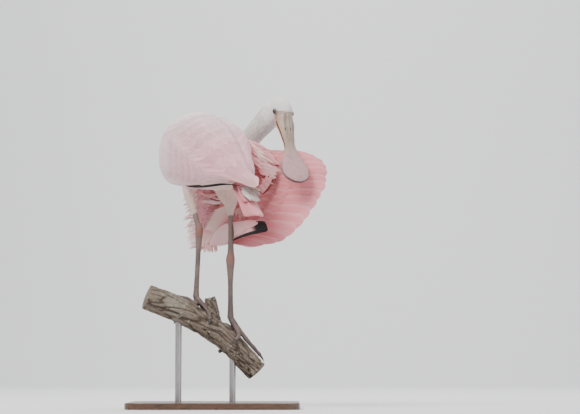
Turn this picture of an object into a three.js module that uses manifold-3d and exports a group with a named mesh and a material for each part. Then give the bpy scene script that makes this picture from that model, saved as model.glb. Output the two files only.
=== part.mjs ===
// A life-size roseate spoonbill that stands on a cut branch and preens the underside of its spread right wing.
// Millimetres. +X is to the right of the view, +Y away from it, +Z up. The stand's underside is at Z = 0,
// with its centre at the origin.
import * as THREE from 'three';
import { mergeVertices } from 'three/addons/utils/BufferGeometryUtils.js';
import Module from 'manifold-3d';

const wasm = await Module();
wasm.setup();

// Clearance between pieces that touch
const GAP = 0.3;

// Body: its own frame is forward, right and up
const BODY_CENTRE = [-12, 0, 480];
const BODY_YAW = 64;
const BODY_PITCH = 15;
// How square the body's section is: 1 is an oval
const BODY_SQUARE = 0.86;
// Along the body: forward, height of the middle, half width, half height
const TORSO = [
  [-170, -14, 13, 9],
  [-150, -12, 32, 23],
  [-110, -9, 46, 40],
  [-60, -4, 57, 57],
  [0, -3, 63, 68],
  [60, -6, 61, 70],
  [105, -10, 52, 60],
  [132, -9, 33, 39],
  [146, -7, 11, 13],
];
// The same for the body with its folded wing over it
const CLOAK = [
  [-245, -24, 4, 3],
  [-230, -23, 11, 8],
  [-190, -17, 23, 18],
  [-150, -11, 39, 32],
  [-110, -8, 55, 49],
  [-60, -5, 67, 67],
  [0, -5, 75, 77],
  [60, -8, 75, 80],
  [100, -11, 64, 68],
  [122, -11, 46, 51],
];
// The torso swells to that size at the top of its far side, where the other wing's shoulder feathers lie:
// degrees from the top of the back, and distances ahead, over which it does so and ends
const SHOULDER_TURN = [0, 25, 80, 115];
const SHOULDER_REACH = [-100, -40, 92, 121];
const TORSO_SIDES = 20;

// Neck: middle line and radius, from inside the breast to inside the head
const NECK = [
  [-58, 96, 502, 42],
  [-66, 134, 498, 38],
  [-40, 164, 491, 33],
  [8, 154, 492, 29],
  [42, 134, 504, 24.5],
  [65, 114, 525, 21],
  [78, 107, 539, 21],
  [96, 104, 558, 23.5],
  [108, 105, 571, 25],
  [119, 105, 580, 20],
];
// Where it is split into pieces, as shares of its length, and the share left open at each split
const NECK_SPLITS = [0, 0.29, 0.56, 1];
const NECK_JOINT = 0.0015;
const NECK_SIDES = 16;

// Head and bill, which are turned to the near side and rolled a little about their own length
const SKULL_CENTRE = [124.8, 93, 576.5];
const SKULL_FORWARD = [0.33, -0.74, -0.585];
const HEAD_ROLL = -6;
// Along the skull: forward, half width, half height
const SKULL = [
  [-35, 4, 4],
  [-31, 12, 11],
  [-19, 19, 18.5],
  [-4, 21.5, 21.5],
  [8, 20.6, 20.8],
  [17, 17.5, 18.5],
  [25, 14.2, 15],
  [30, 10, 10],
];
const BILL_BASE = [129.2, 84.5, 560.8];
const BILL_FORWARD = [0.159, -0.606, -0.779];
// Along the bill: distance from its base, half width, height of the upper half, depth of the lower half
const BILL = [
  [0, 14.6, 12.4, 8.4],
  [12, 16, 12.2, 8.6],
  [24, 15.5, 11.2, 8.2],
  [40, 13.2, 9.6, 7.2],
  [56, 11.7, 7.4, 5.8],
  [76, 10.1, 5.4, 4.4],
  [92, 12.2, 4.4, 3.4],
  [108, 17.4, 3.6, 2.9],
  [124, 23, 3.1, 2.5],
  [138, 26.8, 2.9, 2.3],
  [152, 26.3, 2.7, 2.2],
  [163, 21.8, 2.5, 2],
  [170, 14, 2.2, 1.8],
  [174, 6, 1.6, 1.3],
];
const BILL_SIDES = 12;
const BILL_LENGTH = 174;
// The lower half's base is this many times as wide, and it is turned open by this many degrees
const BILL_LOWER_WIDE = 1.14;
const BILL_OPEN = 1.2;
// Each eye: its radius, and its place forward, out to the side and up from the middle of the skull
const EYE_RADIUS = 5.8;
const EYE_FORWARD = 11;
const EYE_OUT = 16.8;
const EYE_UP = 0.8;
// The rim of its lids: radius, thickness, how far out of the eye's middle, how many degrees its axis leans
// forward, and the room the neck leaves round it
const LID_RADIUS = 5.3;
const LID_THICKNESS = 1.4;
const LID_OUT = 3.2;
const LID_LEAN = 19;
const LID_ROOM = 2.6;
// Each nostril: its place forward, right and up, and its size across, along and deep
const NOSTRIL_PLACE = [41, 5.6, 8.6];
const NOSTRIL_SIZE = [1.6, 8, 2.6];
// The mouth line in the cheeks: how far behind the bill it runs, its width, and how far out its middle is
const MOUTH_LENGTH = 10;
const MOUTH_WIDTH = 1;
const MOUTH_OUT = 18.5;
// How far the cut for it reaches across the cheek, and into the bill's room
const MOUTH_CUT = 8;

// Right wing: its joints, and how it is spread
const RIGHT_SHOULDER = [-12, 98, 518];
const RIGHT_ELBOW = [55, 62, 435];
const RIGHT_WRIST = [-22, 106, 312];
const RIGHT_HAND_END = [22, 48, 309];
// Leading edge of the skin between shoulder and wrist
const RIGHT_FRONT_EDGE = [
  [-20, 104, 500],
  [-44, 116, 440],
  [-46, 118, 390],
  [-42, 116, 345],
  [-34, 110, 308],
];
// Flight feathers from the body's end to the wrist: a line through their roots and one through their tips
const RIGHT_ROOTS = [
  [20, 82, 498],
  [38, 73, 470],
  [51, 65, 446],
  [50, 65, 427],
  [38, 71, 406],
  [23, 80, 382],
  [8, 89, 358],
  [-7, 97, 334],
  [-19, 104, 316],
];
const RIGHT_TIPS = [
  [118, 54, 484],
  [157, 40, 490],
  [191, 20, 477],
  [212, 4, 453],
  [209, 8, 423],
  [193, 8, 390],
  [168, -2, 350],
  [130, -20, 315],
  [86, -42, 302],
];
// How far the feathers bow at their middle
const RIGHT_BOW = [2, 6, 9];
// Its rows of feathers: the stretch from 0 at the body to 1 at the wrist, share of the flight feathers' length,
// depth, which is towards the near side, and the step from one feather to the next
const RIGHT_ROWS = [
  { count: 17, from: 0, to: 1, reach: 1, depth: 0, step: 2.4 },
  { count: 11, from: 0.05, to: 0.97, reach: 0.5, depth: 4.8, step: 1.7 },
  { count: 7, from: 0.25, to: 0.95, reach: 0.3, depth: 8.8, step: 1.6 },
  { count: 3, from: 0.02, to: 0.2, reach: 0.5, depth: 9.2, step: 1.6 },
  { count: 7, from: 0.05, to: 0.95, reach: 0.46, depth: -6, step: 2 },
];
// Small feathers along its leading edge, and those that hang at its wrist
const FRINGE_COUNT = 8;
const FLAP_COUNT = 4;
// The folded primaries: line through their tips, from the innermost to the outermost, then each one's half width
// as a share of that line, and the step from one to the next
const PRIMARY_TIPS = [
  [58, -52, 344],
  [80, -84, 347],
  [97, -120, 342],
  [106, -150, 326],
];
const PRIMARY_COUNT = 6;
const PRIMARY_HALF = 0.15;
const PRIMARY_STEP = 1.4;

// Feathers: share of the length, and share of the half width there
const FLIGHT = [[0, 0.55], [0.35, 0.9], [0.8, 1], [0.95, 0.8], [1, 0.35]];
const COVERT = [[0, 0.7], [0.6, 1], [0.88, 0.75], [1, 0.25]];
const VANE_THICKNESS = 0.65;
// Each overlaps its neighbour: half width as a share of the distance between two
const OVERLAP = 0.8;

// Folded left wing: the pad's angles from the top of the back, how far it lies in, and its depth
const PAD_TOP = -6;
const PAD_LOW = 146;
const PAD_COLUMNS = 8;
const PAD_IN = 1.5;
const PAD_EDGE_IN = 8;
const PAD_DEPTH = 15;
// Its feathers: how deep their roots lie, the step from one to the next, how far a row's outer tips fall short,
// and the share by which tips close in
const SINK = -4.5;
const LEFT_STEP = 1.6;
const LEFT_SHORT = 2.5;
const LEFT_CLOSE = 0.45;
// Each row's root and tip are distances ahead, its angles run from the top down, its tips close in on one angle,
// and it rises to `top`
const LEFT_ROWS = [
  { count: 3, root: -10, tip: -242, angles: [132, 143], close: 128, top: -1, outline: FLIGHT },
  { count: 5, root: -45, tip: -160, angles: [88, 130], close: 112, top: 1.5, outline: FLIGHT },
  { count: 5, root: 22, tip: -54, angles: [80, 128], close: 108, top: 4, outline: COVERT },
  { count: 4, root: -110, tip: -222, angles: [8, 84], close: 50, top: -1, outline: FLIGHT },
  { count: 4, root: -96, tip: -180, angles: [-8, 60], close: 40, top: 3.4, outline: COVERT },
  { count: 5, root: -56, tip: -134, angles: [-12, 62], close: 36, top: 3.8, outline: COVERT },
  { count: 5, root: -14, tip: -86, angles: [-12, 58], close: 32, top: 3.8, outline: COVERT },
];

// Tail: its root in the body's frame and its tip, then its feathers, how far apart they are at root and tip, and
// the step from one to the next
const TAIL_ROOT = [-146, 0, -20];
const TAIL_TIP = [83, -185, 347];
const TAIL_COUNT = 8;
const TAIL_HALF = 7;
const TAIL_SPREAD = [2.4, 3.7];
const TAIL_STEP = 1.1;

// Legs: middle line and radius
const THIGH_LEFT = [
  [-38, 6, 452, 30],
  [-45, -8, 425, 20],
  [-48, -20, 404, 12.5],
  [-43, -26, 382, 9],
  [-37, -29, 360, 6.6],
];
const SHANK_LEFT = [
  [-40, -28, 372, 4.6],
  [-31, -31, 345, 5.2],
  [-28, -32, 334, 7.6],
  [-28.5, -31, 322, 6.6],
  [-30, -28, 290, 4.7],
  [-32, -24, 250, 4.6],
  [-33.5, -21, 222, 5],
  [-34, -20, 208, 6.2],
];
const THIGH_RIGHT = [
  [20, 24, 450, 30],
  [24, 6, 424, 30],
  [27, -6, 402, 24],
  [29.5, -12, 382, 12.5],
  [30, -15, 360, 6.6],
];
const SHANK_RIGHT = [
  [30, -14, 374, 4.6],
  [30.5, -17, 320, 4.9],
  [30.5, -18, 292, 6],
  [30, -18, 278, 8.4],
  [30, -17, 264, 7],
  [30, -14, 235, 4.8],
  [30, -8, 200, 4.8],
  [30, -4, 182, 5.4],
  [30, -3, 170, 6.4],
];
const LEG_SIDES = 8;
const THIGH_SHAPE = { steps: 8, sides: LEG_SIDES, up: [0, 1, 0] };

// Feet: toes as X along the branch and turn about it, 0 on top, 90 on the near side, -90 on the far side
const TOE_RADIUS = 4.4;
const TOES_LEFT = [
  [[-46, 2], [-62, -8], [-76, -28], [-82, -52]],
  [[-42, -26], [-50, -70], [-57, -112], [-60, -150], [-62, -172]],
  [[-28, -30], [-22, -72], [-18, -108], [-16, -136]],
  [[-24, 34], [-18, 68], [-15, 92]],
];
const TOES_RIGHT = [
  [[20, -14], [10, -30], [2, -56], [-2, -84]],
  [[32, -34], [34, -80], [31, -118], [27, -152], [24, -174]],
  [[42, 8], [54, 4], [67, -2], [77, -14]],
  [[29, 40], [29, 72], [29, 98]],
];

// Perch: middle line and radius
const PERCH = [
  [-124, -44, 207, 24],
  [-90, -35, 194, 24.5],
  [-55, -25, 178, 24],
  [-20, -16, 158, 23.5],
  [8, -9, 140, 23.5],
  [34, -3, 117, 23],
  [58, 3, 92, 22],
  [79, 8, 69, 21],
];
// Its radius where toes lie on it and rods enter it
const PERCH_RADIUS = 23.5;
const PERCH_SIDES = 11;
const PERCH_RINGS = 17;
const STUB_ROOT = [0, -14, 160];
const STUB_END = [-7, -26, 205];
const STUB_RADIUS = 12;

// Stand
const BASE_SIZE = [320, 250, 12];
const BASE_CORNER = 26;
const BASE_BEVEL = 1.5;
const ROD_RADIUS = 6;
const ROD_DEPTH = 16;
const ROD_X = [-66, 34];

const SEED = 465;

// A repeatable draw of numbers from 0 to 1
function drawFrom(seed) {
  let state = seed;
  return () => {
    state = (state * 1664525 + 1013904223) % 4294967296;
    return state / 4294967296;
  };
}

const vector = (values) => new THREE.Vector3(values[0], values[1], values[2]);
const radians = (degrees) => THREE.MathUtils.degToRad(degrees);
const mix = (from, to, share) => from + (to - from) * share;

// Smooth values between the rows of a table, whose first column is the place
function tableAt(table, place) {
  const last = table.length - 1;
  let row = 0;
  while (row < last - 1 && place > table[row + 1][0]) {
    row += 1;
  }
  const before = table[Math.max(row - 1, 0)];
  const from = table[row];
  const to = table[row + 1];
  const after = table[Math.min(row + 2, last)];
  const span = to[0] - from[0];
  const t = THREE.MathUtils.clamp((place - from[0]) / span, 0, 1);
  return from.slice(1).map((value, column) => {
    const k = column + 1;
    const slopeFrom = row === 0 ? (to[k] - from[k]) / span : (to[k] - before[k]) / (to[0] - before[0]);
    const slopeTo = row === last - 1 ? (to[k] - from[k]) / span : (after[k] - from[k]) / (after[0] - from[0]);
    const t2 = t * t;
    const t3 = t2 * t;
    return (2 * t3 - 3 * t2 + 1) * value + (t3 - 2 * t2 + t) * span * slopeFrom
      + (3 * t2 - 2 * t3) * to[k] + (t3 - t2) * span * slopeTo;
  });
}

// A set of three directions: forward, right and up, turned about forward by roll
function directions(forward, roll = 0) {
  const ahead = vector(forward).normalize();
  const level = new THREE.Vector3(0, 0, 1).cross(ahead).negate().normalize();
  const right = level.clone().applyAxisAngle(ahead, radians(roll));
  const up = right.clone().cross(ahead).normalize();
  return { ahead, right, up };
}

// A point given along those directions
function placed(origin, frame, ahead, right, up) {
  return vector(origin)
    .addScaledVector(frame.ahead, ahead)
    .addScaledVector(frame.right, right)
    .addScaledVector(frame.up, up);
}

const yaw = radians(BODY_YAW);
const pitch = radians(BODY_PITCH);
const bodyFrame = directions([-Math.cos(yaw) * Math.cos(pitch), Math.sin(yaw) * Math.cos(pitch), Math.sin(pitch)]);
const inBody = (ahead, right, up) => placed(BODY_CENTRE, bodyFrame, ahead, right, up);
const skullFrame = directions(SKULL_FORWARD, HEAD_ROLL);
const billFrame = directions(BILL_FORWARD, HEAD_ROLL);

// The geometry's faces are turned outward
function closedGeometry(positions, index) {
  let volume = 0;
  const corner = (i) => new THREE.Vector3().fromArray(positions, i * 3);
  for (let i = 0; i < index.length; i += 3) {
    volume += corner(index[i]).dot(corner(index[i + 1]).cross(corner(index[i + 2])));
  }
  const faces = volume < 0 ? [...index].reverse() : index;
  const geometry = new THREE.BufferGeometry();
  geometry.setAttribute('position', new THREE.Float32BufferAttribute(positions, 3));
  geometry.setIndex(faces);
  return geometry;
}

// A closed body through rings of points, each end closed to its middle
function loft(rings) {
  const sides = rings[0].length;
  const positions = [];
  const index = [];
  rings.forEach((ring) => ring.forEach((p) => positions.push(p.x, p.y, p.z)));
  for (let i = 0; i < rings.length - 1; i += 1) {
    for (let j = 0; j < sides; j += 1) {
      const a = i * sides + j;
      const b = i * sides + ((j + 1) % sides);
      index.push(a, b, b + sides, a, b + sides, a + sides);
    }
  }
  [0, rings.length - 1].forEach((i) => {
    const middle = new THREE.Vector3();
    rings[i].forEach((p) => middle.addScaledVector(p, 1 / sides));
    const centre = positions.length / 3;
    positions.push(middle.x, middle.y, middle.z);
    for (let j = 0; j < sides; j += 1) {
      const a = i * sides + j;
      const b = i * sides + ((j + 1) % sides);
      index.push(...(i === 0 ? [b, a, centre] : [a, b, centre]));
    }
  });
  return closedGeometry(positions, index);
}

// A thin closed body between two grids laid out alike, split into triangles alike on both faces
function slab(front, back) {
  const rows = front.length;
  const columns = front[0].length;
  const positions = [];
  const index = [];
  [...front, ...back].forEach((row) => row.forEach((p) => positions.push(p.x, p.y, p.z)));
  const at = (i, j) => i * columns + j;
  const under = rows * columns;
  const wall = (p, q) => index.push(q, p, p + under, q, p + under, q + under);
  for (let i = 0; i < rows - 1; i += 1) {
    for (let j = 0; j < columns - 1; j += 1) {
      const [a, b, c, d] = [at(i, j), at(i + 1, j), at(i + 1, j + 1), at(i, j + 1)];
      index.push(a, b, c, a, c, d);
      index.push(a + under, c + under, b + under, a + under, d + under, c + under);
    }
    wall(at(i, 0), at(i + 1, 0));
    wall(at(i + 1, columns - 1), at(i, columns - 1));
  }
  for (let j = 0; j < columns - 1; j += 1) {
    wall(at(rows - 1, j), at(rows - 1, j + 1));
    wall(at(0, j + 1), at(0, j));
  }
  return closedGeometry(positions, index);
}

// A tube of oval rings along a smooth path: each key is x, y, z and a radius
function tube(keys, { steps, sides, from = 0, to = 1, grow = 0, flat = 1, up = [0, 0, 1], rough = null }) {
  const path = new THREE.CatmullRomCurve3(keys.map(vector), false, 'centripetal');
  const radius = new THREE.CatmullRomCurve3(keys.map((key) => new THREE.Vector3(key[3], 0, 0)));
  const rings = [];
  for (let i = 0; i <= steps; i += 1) {
    const t = mix(from, to, i / steps);
    const centre = path.getPoint(t);
    const ahead = path.getTangent(t);
    const side = ahead.clone().cross(vector(up)).normalize();
    const lift = side.clone().cross(ahead);
    const ring = [];
    for (let j = 0; j < sides; j += 1) {
      const angle = (2 * Math.PI * j) / sides;
      const reach = (radius.getPoint(t).x + grow) * (rough ? rough(i, j) : 1);
      ring.push(centre.clone()
        .addScaledVector(side, Math.cos(angle) * reach)
        .addScaledVector(lift, Math.sin(angle) * reach * flat));
    }
    rings.push(ring);
  }
  return loft(rings);
}

// Manifold solids, for joining and cutting
function solid(geometry) {
  const bare = geometry.clone();
  bare.deleteAttribute('normal');
  bare.deleteAttribute('uv');
  const merged = mergeVertices(bare, 1e-4);
  return new wasm.Manifold(new wasm.Mesh({
    numProp: 3,
    vertProperties: new Float32Array(merged.attributes.position.array),
    triVerts: new Uint32Array(merged.index.array),
  }));
}

function geometryOf(body) {
  const { vertProperties, triVerts } = body.getMesh();
  const geometry = new THREE.BufferGeometry();
  geometry.setAttribute('position', new THREE.Float32BufferAttribute(vertProperties, 3));
  geometry.setIndex([...triVerts]);
  return geometry;
}

const join = (geometries) => geometries.map(solid).reduce((whole, piece) => whole.add(piece));
const largest = (body) => body.decompose().reduce((best, piece) => (piece.volume() > best.volume() ? piece : best));

// The torso, or the torso with its folded wing, grown by a little where a neighbour is cut to meet it
function bodyPoint(table, ahead, angle, grow = 0) {
  const [middle, halfWidth, halfHeight] = tableAt(table, ahead);
  const squared = (value) => Math.sign(value) * Math.abs(value) ** BODY_SQUARE;
  return inBody(
    ahead,
    squared(Math.sin(angle)) * (halfWidth + grow),
    middle + squared(Math.cos(angle)) * (halfHeight + grow),
  );
}

// How far a value is between the inner two of four limits, from 0 to 1
function between(value, [start, full, wane, end]) {
  return THREE.MathUtils.smoothstep(value, start, full) * (1 - THREE.MathUtils.smoothstep(value, wane, end));
}

function torsoGeometry(grow = 0) {
  const stations = [-168, -158, -145, -120, -90, -55, -15, 25, 62, 92, 116, 132, 145];
  const rings = stations.map((ahead) => {
    const ring = [];
    for (let j = 0; j < TORSO_SIDES; j += 1) {
      const angle = (2 * Math.PI * j) / TORSO_SIDES;
      const swell = between(THREE.MathUtils.radToDeg(angle), SHOULDER_TURN) * between(ahead, SHOULDER_REACH);
      ring.push(bodyPoint(TORSO, ahead, angle, grow).lerp(bodyPoint(CLOAK, Math.min(ahead, 121), angle, grow), swell));
    }
    return ring;
  });
  if (grow > 0) {
    rings[0].forEach((p) => p.addScaledVector(bodyFrame.ahead, -grow));
    rings[rings.length - 1].forEach((p) => p.addScaledVector(bodyFrame.ahead, grow));
  }
  return loft(rings);
}

function neckGeometry(from, to, grow = 0) {
  const steps = Math.round((to - from) * 22);
  return tube(NECK, { steps, sides: NECK_SIDES, from, to, grow });
}

function skullGeometry(grow = 0) {
  const stations = [-35, -32, -25, -15, -4, 6, 14, 22, 30];
  const sides = 16;
  const rings = stations.map((ahead) => {
    const [halfWidth, halfHeight] = tableAt(SKULL, ahead);
    const ring = [];
    for (let j = 0; j < sides; j += 1) {
      const angle = (2 * Math.PI * j) / sides;
      ring.push(placed(SKULL_CENTRE, skullFrame, ahead,
        Math.cos(angle) * (halfWidth + grow), Math.sin(angle) * (halfHeight + grow)));
    }
    return ring;
  });
  return loft(rings);
}

// One half of the bill: side 1 is the upper half, -1 the lower, which is turned open about the gape
function billGeometry(side, grow = 0) {
  const hinge = placed(BILL_BASE, billFrame, BILL[0][0], 0, 0);
  const open = radians(side < 0 ? BILL_OPEN : 0);
  const stations = [0, 10, 22, 34, 48, 62, 76, 90, 104, 117, 129, 140, 150, 159, 166, 171, BILL_LENGTH];
  const rings = stations.map((station, row) => {
    const ahead = station - (row === 0 ? grow : 0);
    const [halfWidth, upper, lower] = tableAt(BILL, station);
    const height = side > 0 ? upper : lower;
    const wide = side > 0 ? 1 : mix(BILL_LOWER_WIDE, 1, station / BILL_LENGTH);
    const ring = [];
    for (let j = 0; j < BILL_SIDES; j += 1) {
      const angle = Math.PI * (j / (BILL_SIDES - 1));
      const across = Math.cos(angle) * (wide * halfWidth + grow);
      const rise = side * (Math.sin(angle) * height + GAP / 2 + grow * (2 * Math.sin(angle) - 1));
      ring.push(placed(BILL_BASE, billFrame, ahead, across, rise));
    }
    return ring;
  });
  rings.flat().forEach((p) => p.sub(hinge).applyAxisAngle(billFrame.right, -open).add(hinge));
  return loft(rings);
}

const eyeCentre = (side) => placed(SKULL_CENTRE, skullFrame, EYE_FORWARD, side * EYE_OUT, EYE_UP);

// The rim of the lids, about an axis that leans forward from the eye
function lidGeometry(side) {
  const lean = radians(LID_LEAN);
  const axis = placed([0, 0, 0], skullFrame, Math.sin(lean), side * Math.cos(lean), 0);
  const geometry = new THREE.TorusGeometry(LID_RADIUS, LID_THICKNESS, 4, 10);
  geometry.applyQuaternion(new THREE.Quaternion().setFromUnitVectors(new THREE.Vector3(0, 0, 1), axis));
  const centre = eyeCentre(side).addScaledVector(axis, LID_OUT);
  geometry.translate(centre.x, centre.y, centre.z);
  return geometry;
}

// A box along a set of directions: its place is forward, right, up and its size across, along, high
function block(origin, frame, place, size) {
  const geometry = new THREE.BoxGeometry(size[0], size[1], size[2]);
  geometry.applyMatrix4(new THREE.Matrix4().makeBasis(frame.right, frame.ahead, frame.up));
  const centre = placed(origin, frame, ...place);
  geometry.translate(centre.x, centre.y, centre.z);
  return geometry;
}

function ball(centre, radius, across = 10, down = 8) {
  const geometry = new THREE.SphereGeometry(radius, across, down);
  geometry.translate(centre.x, centre.y, centre.z);
  return geometry;
}

// The bare part of a leg, whose top is socketed in the feathered thigh
function shankGeometry(keys, grow = 0) {
  const geometry = tube(keys, { steps: 14, sides: LEG_SIDES, grow, up: [0, 1, 0] });
  const position = geometry.attributes.position;
  for (let i = 0; i < position.count; i += 1) {
    const z = position.getZ(i);
    position.setZ(i, z + (z > keys[1][2] ? grow : 0) - (z < keys[keys.length - 2][2] ? grow : 0));
  }
  return geometry;
}

// The branch, with a rough bark
function perchGeometry(grow = 0) {
  const draw = drawFrom(SEED);
  const bark = [];
  for (let i = 0; i <= PERCH_RINGS; i += 1) {
    bark.push(Array.from({ length: PERCH_SIDES }, () => 0.94 + 0.1 * draw()));
  }
  return tube(PERCH, { steps: PERCH_RINGS, sides: PERCH_SIDES, grow, rough: (i, j) => bark[i][j] });
}

function stubGeometry(grow = 0) {
  const [root, end] = [vector(STUB_ROOT), vector(STUB_END)];
  const keys = [0, 0.5, 1].map((t) => [...root.clone().lerp(end, t).toArray(), STUB_RADIUS * (1.15 - 0.2 * t)]);
  return tube(keys, { steps: 3, sides: 9, grow, up: [1, 0, 0] });
}

const perchPath = new THREE.CatmullRomCurve3(PERCH.map(vector), false, 'centripetal');

// The place along the branch's middle line that has a given X
function perchShare(x) {
  let [low, high] = [0, 1];
  for (let i = 0; i < 30; i += 1) {
    const middle = (low + high) / 2;
    if (perchPath.getPoint(middle).x < x) {
      low = middle;
    } else {
      high = middle;
    }
  }
  return low;
}

// A point on or over the bark: turn 0 is on top, 90 on the near side, -90 on the far side
function onPerch(x, turn, lift) {
  const share = perchShare(x);
  const ahead = perchPath.getTangent(share);
  const far = new THREE.Vector3(0, 0, 1).cross(ahead).normalize();
  const top = ahead.clone().cross(far).normalize();
  const reach = PERCH_RADIUS + lift;
  return perchPath.getPoint(share)
    .addScaledVector(top, Math.cos(radians(turn)) * reach)
    .addScaledVector(far, -Math.sin(radians(turn)) * reach);
}

// One toe with its claw, over the branch along a list of X and turn
function toeGeometry(start, stops, thick) {
  const keys = [[start.x, start.y, start.z, thick * 1.15]];
  stops.forEach(([x, turn], i) => {
    const share = (i + 1) / stops.length;
    const radius = i === stops.length - 1 ? 0.7 : thick * (1 - 0.35 * share);
    const p = onPerch(x, turn, radius * 0.8);
    keys.push([p.x, p.y, p.z, radius]);
  });
  return tube(keys, { steps: stops.length * 2, sides: 5, up: [0.1, 0.2, 1] });
}

// A foot: three toes over the far side of the branch and one down its near side
function footGeometry(start, toes) {
  const pad = ball(start, TOE_RADIUS * 1.6, 8, 6);
  return join([pad, ...toes.map((stops) => toeGeometry(start, stops, TOE_RADIUS))]);
}

// A stand rod, from the base up into the branch
function rodGeometry(x, grow = 0) {
  const middle = perchPath.getPoint(perchShare(x));
  const low = BASE_SIZE[2] + GAP - grow;
  const high = middle.z - PERCH_RADIUS + ROD_DEPTH + grow;
  const geometry = new THREE.CylinderGeometry(ROD_RADIUS + grow, ROD_RADIUS + grow, high - low, 20);
  geometry.rotateX(Math.PI / 2);
  geometry.translate(x, middle.y, (high + low) / 2);
  return geometry;
}

// The stand's base: a plate with round corners and a bevelled rim
function baseGeometry() {
  const [length, depth, height] = BASE_SIZE;
  const [x, y] = [length / 2 - BASE_BEVEL, depth / 2 - BASE_BEVEL];
  const outline = new THREE.Shape();
  outline.moveTo(-x + BASE_CORNER, -y);
  outline.absarc(x - BASE_CORNER, -y + BASE_CORNER, BASE_CORNER, -Math.PI / 2, 0);
  outline.absarc(x - BASE_CORNER, y - BASE_CORNER, BASE_CORNER, 0, Math.PI / 2);
  outline.absarc(-x + BASE_CORNER, y - BASE_CORNER, BASE_CORNER, Math.PI / 2, Math.PI);
  outline.absarc(-x + BASE_CORNER, -y + BASE_CORNER, BASE_CORNER, Math.PI, 1.5 * Math.PI);
  const geometry = new THREE.ExtrudeGeometry(outline, {
    depth: height - 2 * BASE_BEVEL,
    bevelThickness: BASE_BEVEL,
    bevelSize: BASE_BEVEL,
    bevelSegments: 1,
    curveSegments: 3,
  });
  geometry.translate(0, 0, BASE_BEVEL);
  return geometry;
}

// One feather in a curved sheet of them: `place` turns a place across, along and deep into the sheet into a point
function vane(place, outline, { middle, half, rise, tilt = 0, columns = [-1, 1] }) {
  const face = (side) => outline.map(([along, share]) => columns.map((edge) => {
    const across = edge * half * share;
    return place(middle(along) + across, along, rise(along) + tilt * across + (side * VANE_THICKNESS) / 2);
  }));
  return slab(face(1), face(-1));
}

// A feather alone, from root to tip, bowed by `bend` at its middle
function feather(root, tip, face, half, outline, bend = new THREE.Vector3()) {
  const side = tip.clone().sub(root).cross(face).normalize();
  const place = (across, along, deep) => root.clone().lerp(tip, along)
    .addScaledVector(bend, 4 * along * (1 - along))
    .addScaledVector(side, across)
    .addScaledVector(face, deep);
  return vane(place, outline, { middle: () => 0, half, rise: () => 0 });
}

// A point on a curve, which runs on straight past its ends
function curveAt(curve, share) {
  const inside = THREE.MathUtils.clamp(share, 0, 1);
  const beside = inside < 0.5 ? inside + 0.02 : inside - 0.02;
  const slope = curve.getPoint(inside).sub(curve.getPoint(beside)).divideScalar(inside - beside);
  return curve.getPoint(inside).addScaledVector(slope, share - inside);
}

// The sheet of the spread right wing: across runs from the body to the wrist, depth is towards the near side
const rightRoots = new THREE.CatmullRomCurve3(RIGHT_ROOTS.map(vector));
const rightTips = new THREE.CatmullRomCurve3(RIGHT_TIPS.map(vector));
const nearSide = new THREE.Vector3(-0.45, -0.89, 0).normalize();
function rightSheet(across, along, deep) {
  return curveAt(rightRoots, across).lerp(curveAt(rightTips, across), along)
    .addScaledVector(vector(RIGHT_BOW), 4 * along * (1 - along))
    .addScaledVector(nearSide, deep);
}

function rightFeathers() {
  return RIGHT_ROWS.flatMap(({ count, from, to, reach, depth, step }) => {
    const pitch = (to - from) / (count - 1);
    return Array.from({ length: count }, (unused, i) => vane(
      (across, along, deep) => rightSheet(across, along * reach, deep),
      reach === 1 ? FLIGHT : COVERT,
      { middle: () => from + i * pitch, half: OVERLAP * pitch, rise: () => depth, tilt: -step / pitch },
    ));
  });
}

// Small feathers that fringe the wing's leading edge, and those that hang at its wrist
function rightFringe() {
  const draw = drawFrom(SEED + 1);
  const edge = new THREE.CatmullRomCurve3(RIGHT_FRONT_EDGE.map(vector));
  const face = new THREE.Vector3(-0.2, -0.97, 0.1).normalize();
  const fringe = Array.from({ length: FRINGE_COUNT }, (unused, i) => {
    const step = new THREE.Vector3(5, (i % 2) * 1.2, 2);
    const root = edge.getPoint(mix(0.3, 0.97, i / (FRINGE_COUNT - 1))).add(step);
    const tip = root.clone().add(new THREE.Vector3(-18 - 5 * draw(), 3, -12 - 6 * draw()));
    return feather(root, tip, face, 8, COVERT, new THREE.Vector3(0, 0, 2));
  });
  const flap = Array.from({ length: FLAP_COUNT }, (unused, i) => {
    const root = vector(RIGHT_WRIST).add(new THREE.Vector3(-4 + 5.5 * i, 2 - 3.5 * i, 2));
    const tip = root.clone().add(new THREE.Vector3(2 + 3 * draw(), -4, -20 - 4 * draw()));
    return feather(root, tip, face, 5.5, COVERT);
  });
  return [...fringe, ...flap];
}

function rightArm() {
  const keys = [
    [...RIGHT_SHOULDER, 20],
    [...vector(RIGHT_SHOULDER).lerp(vector(RIGHT_ELBOW), 0.5).toArray(), 16],
    [...RIGHT_ELBOW, 12],
    [...vector(RIGHT_ELBOW).lerp(vector(RIGHT_WRIST), 0.5).toArray(), 9.5],
    [...RIGHT_WRIST, 8],
  ];
  return tube(keys, { steps: 10, sides: 8, up: [0.3, 1, 0] });
}

function rightPatagium() {
  const edge = new THREE.CatmullRomCurve3(RIGHT_FRONT_EDGE.map(vector));
  const arm = new THREE.CatmullRomCurve3([RIGHT_SHOULDER, RIGHT_ELBOW, RIGHT_WRIST].map(vector));
  const away = new THREE.Vector3(0.45, 0.89, 0);
  const front = [];
  const back = [];
  for (let i = 0; i <= 6; i += 1) {
    const t = i / 6;
    const row = [0, 1].map((k) => edge.getPoint(t).lerp(arm.getPoint(t), k));
    front.push(row.map((p, k) => p.clone().addScaledVector(away, -[1.5, 5][k])));
    back.push(row.map((p, k) => p.clone().addScaledVector(away, [1.5, 5][k])));
  }
  return slab(front, back);
}

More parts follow.
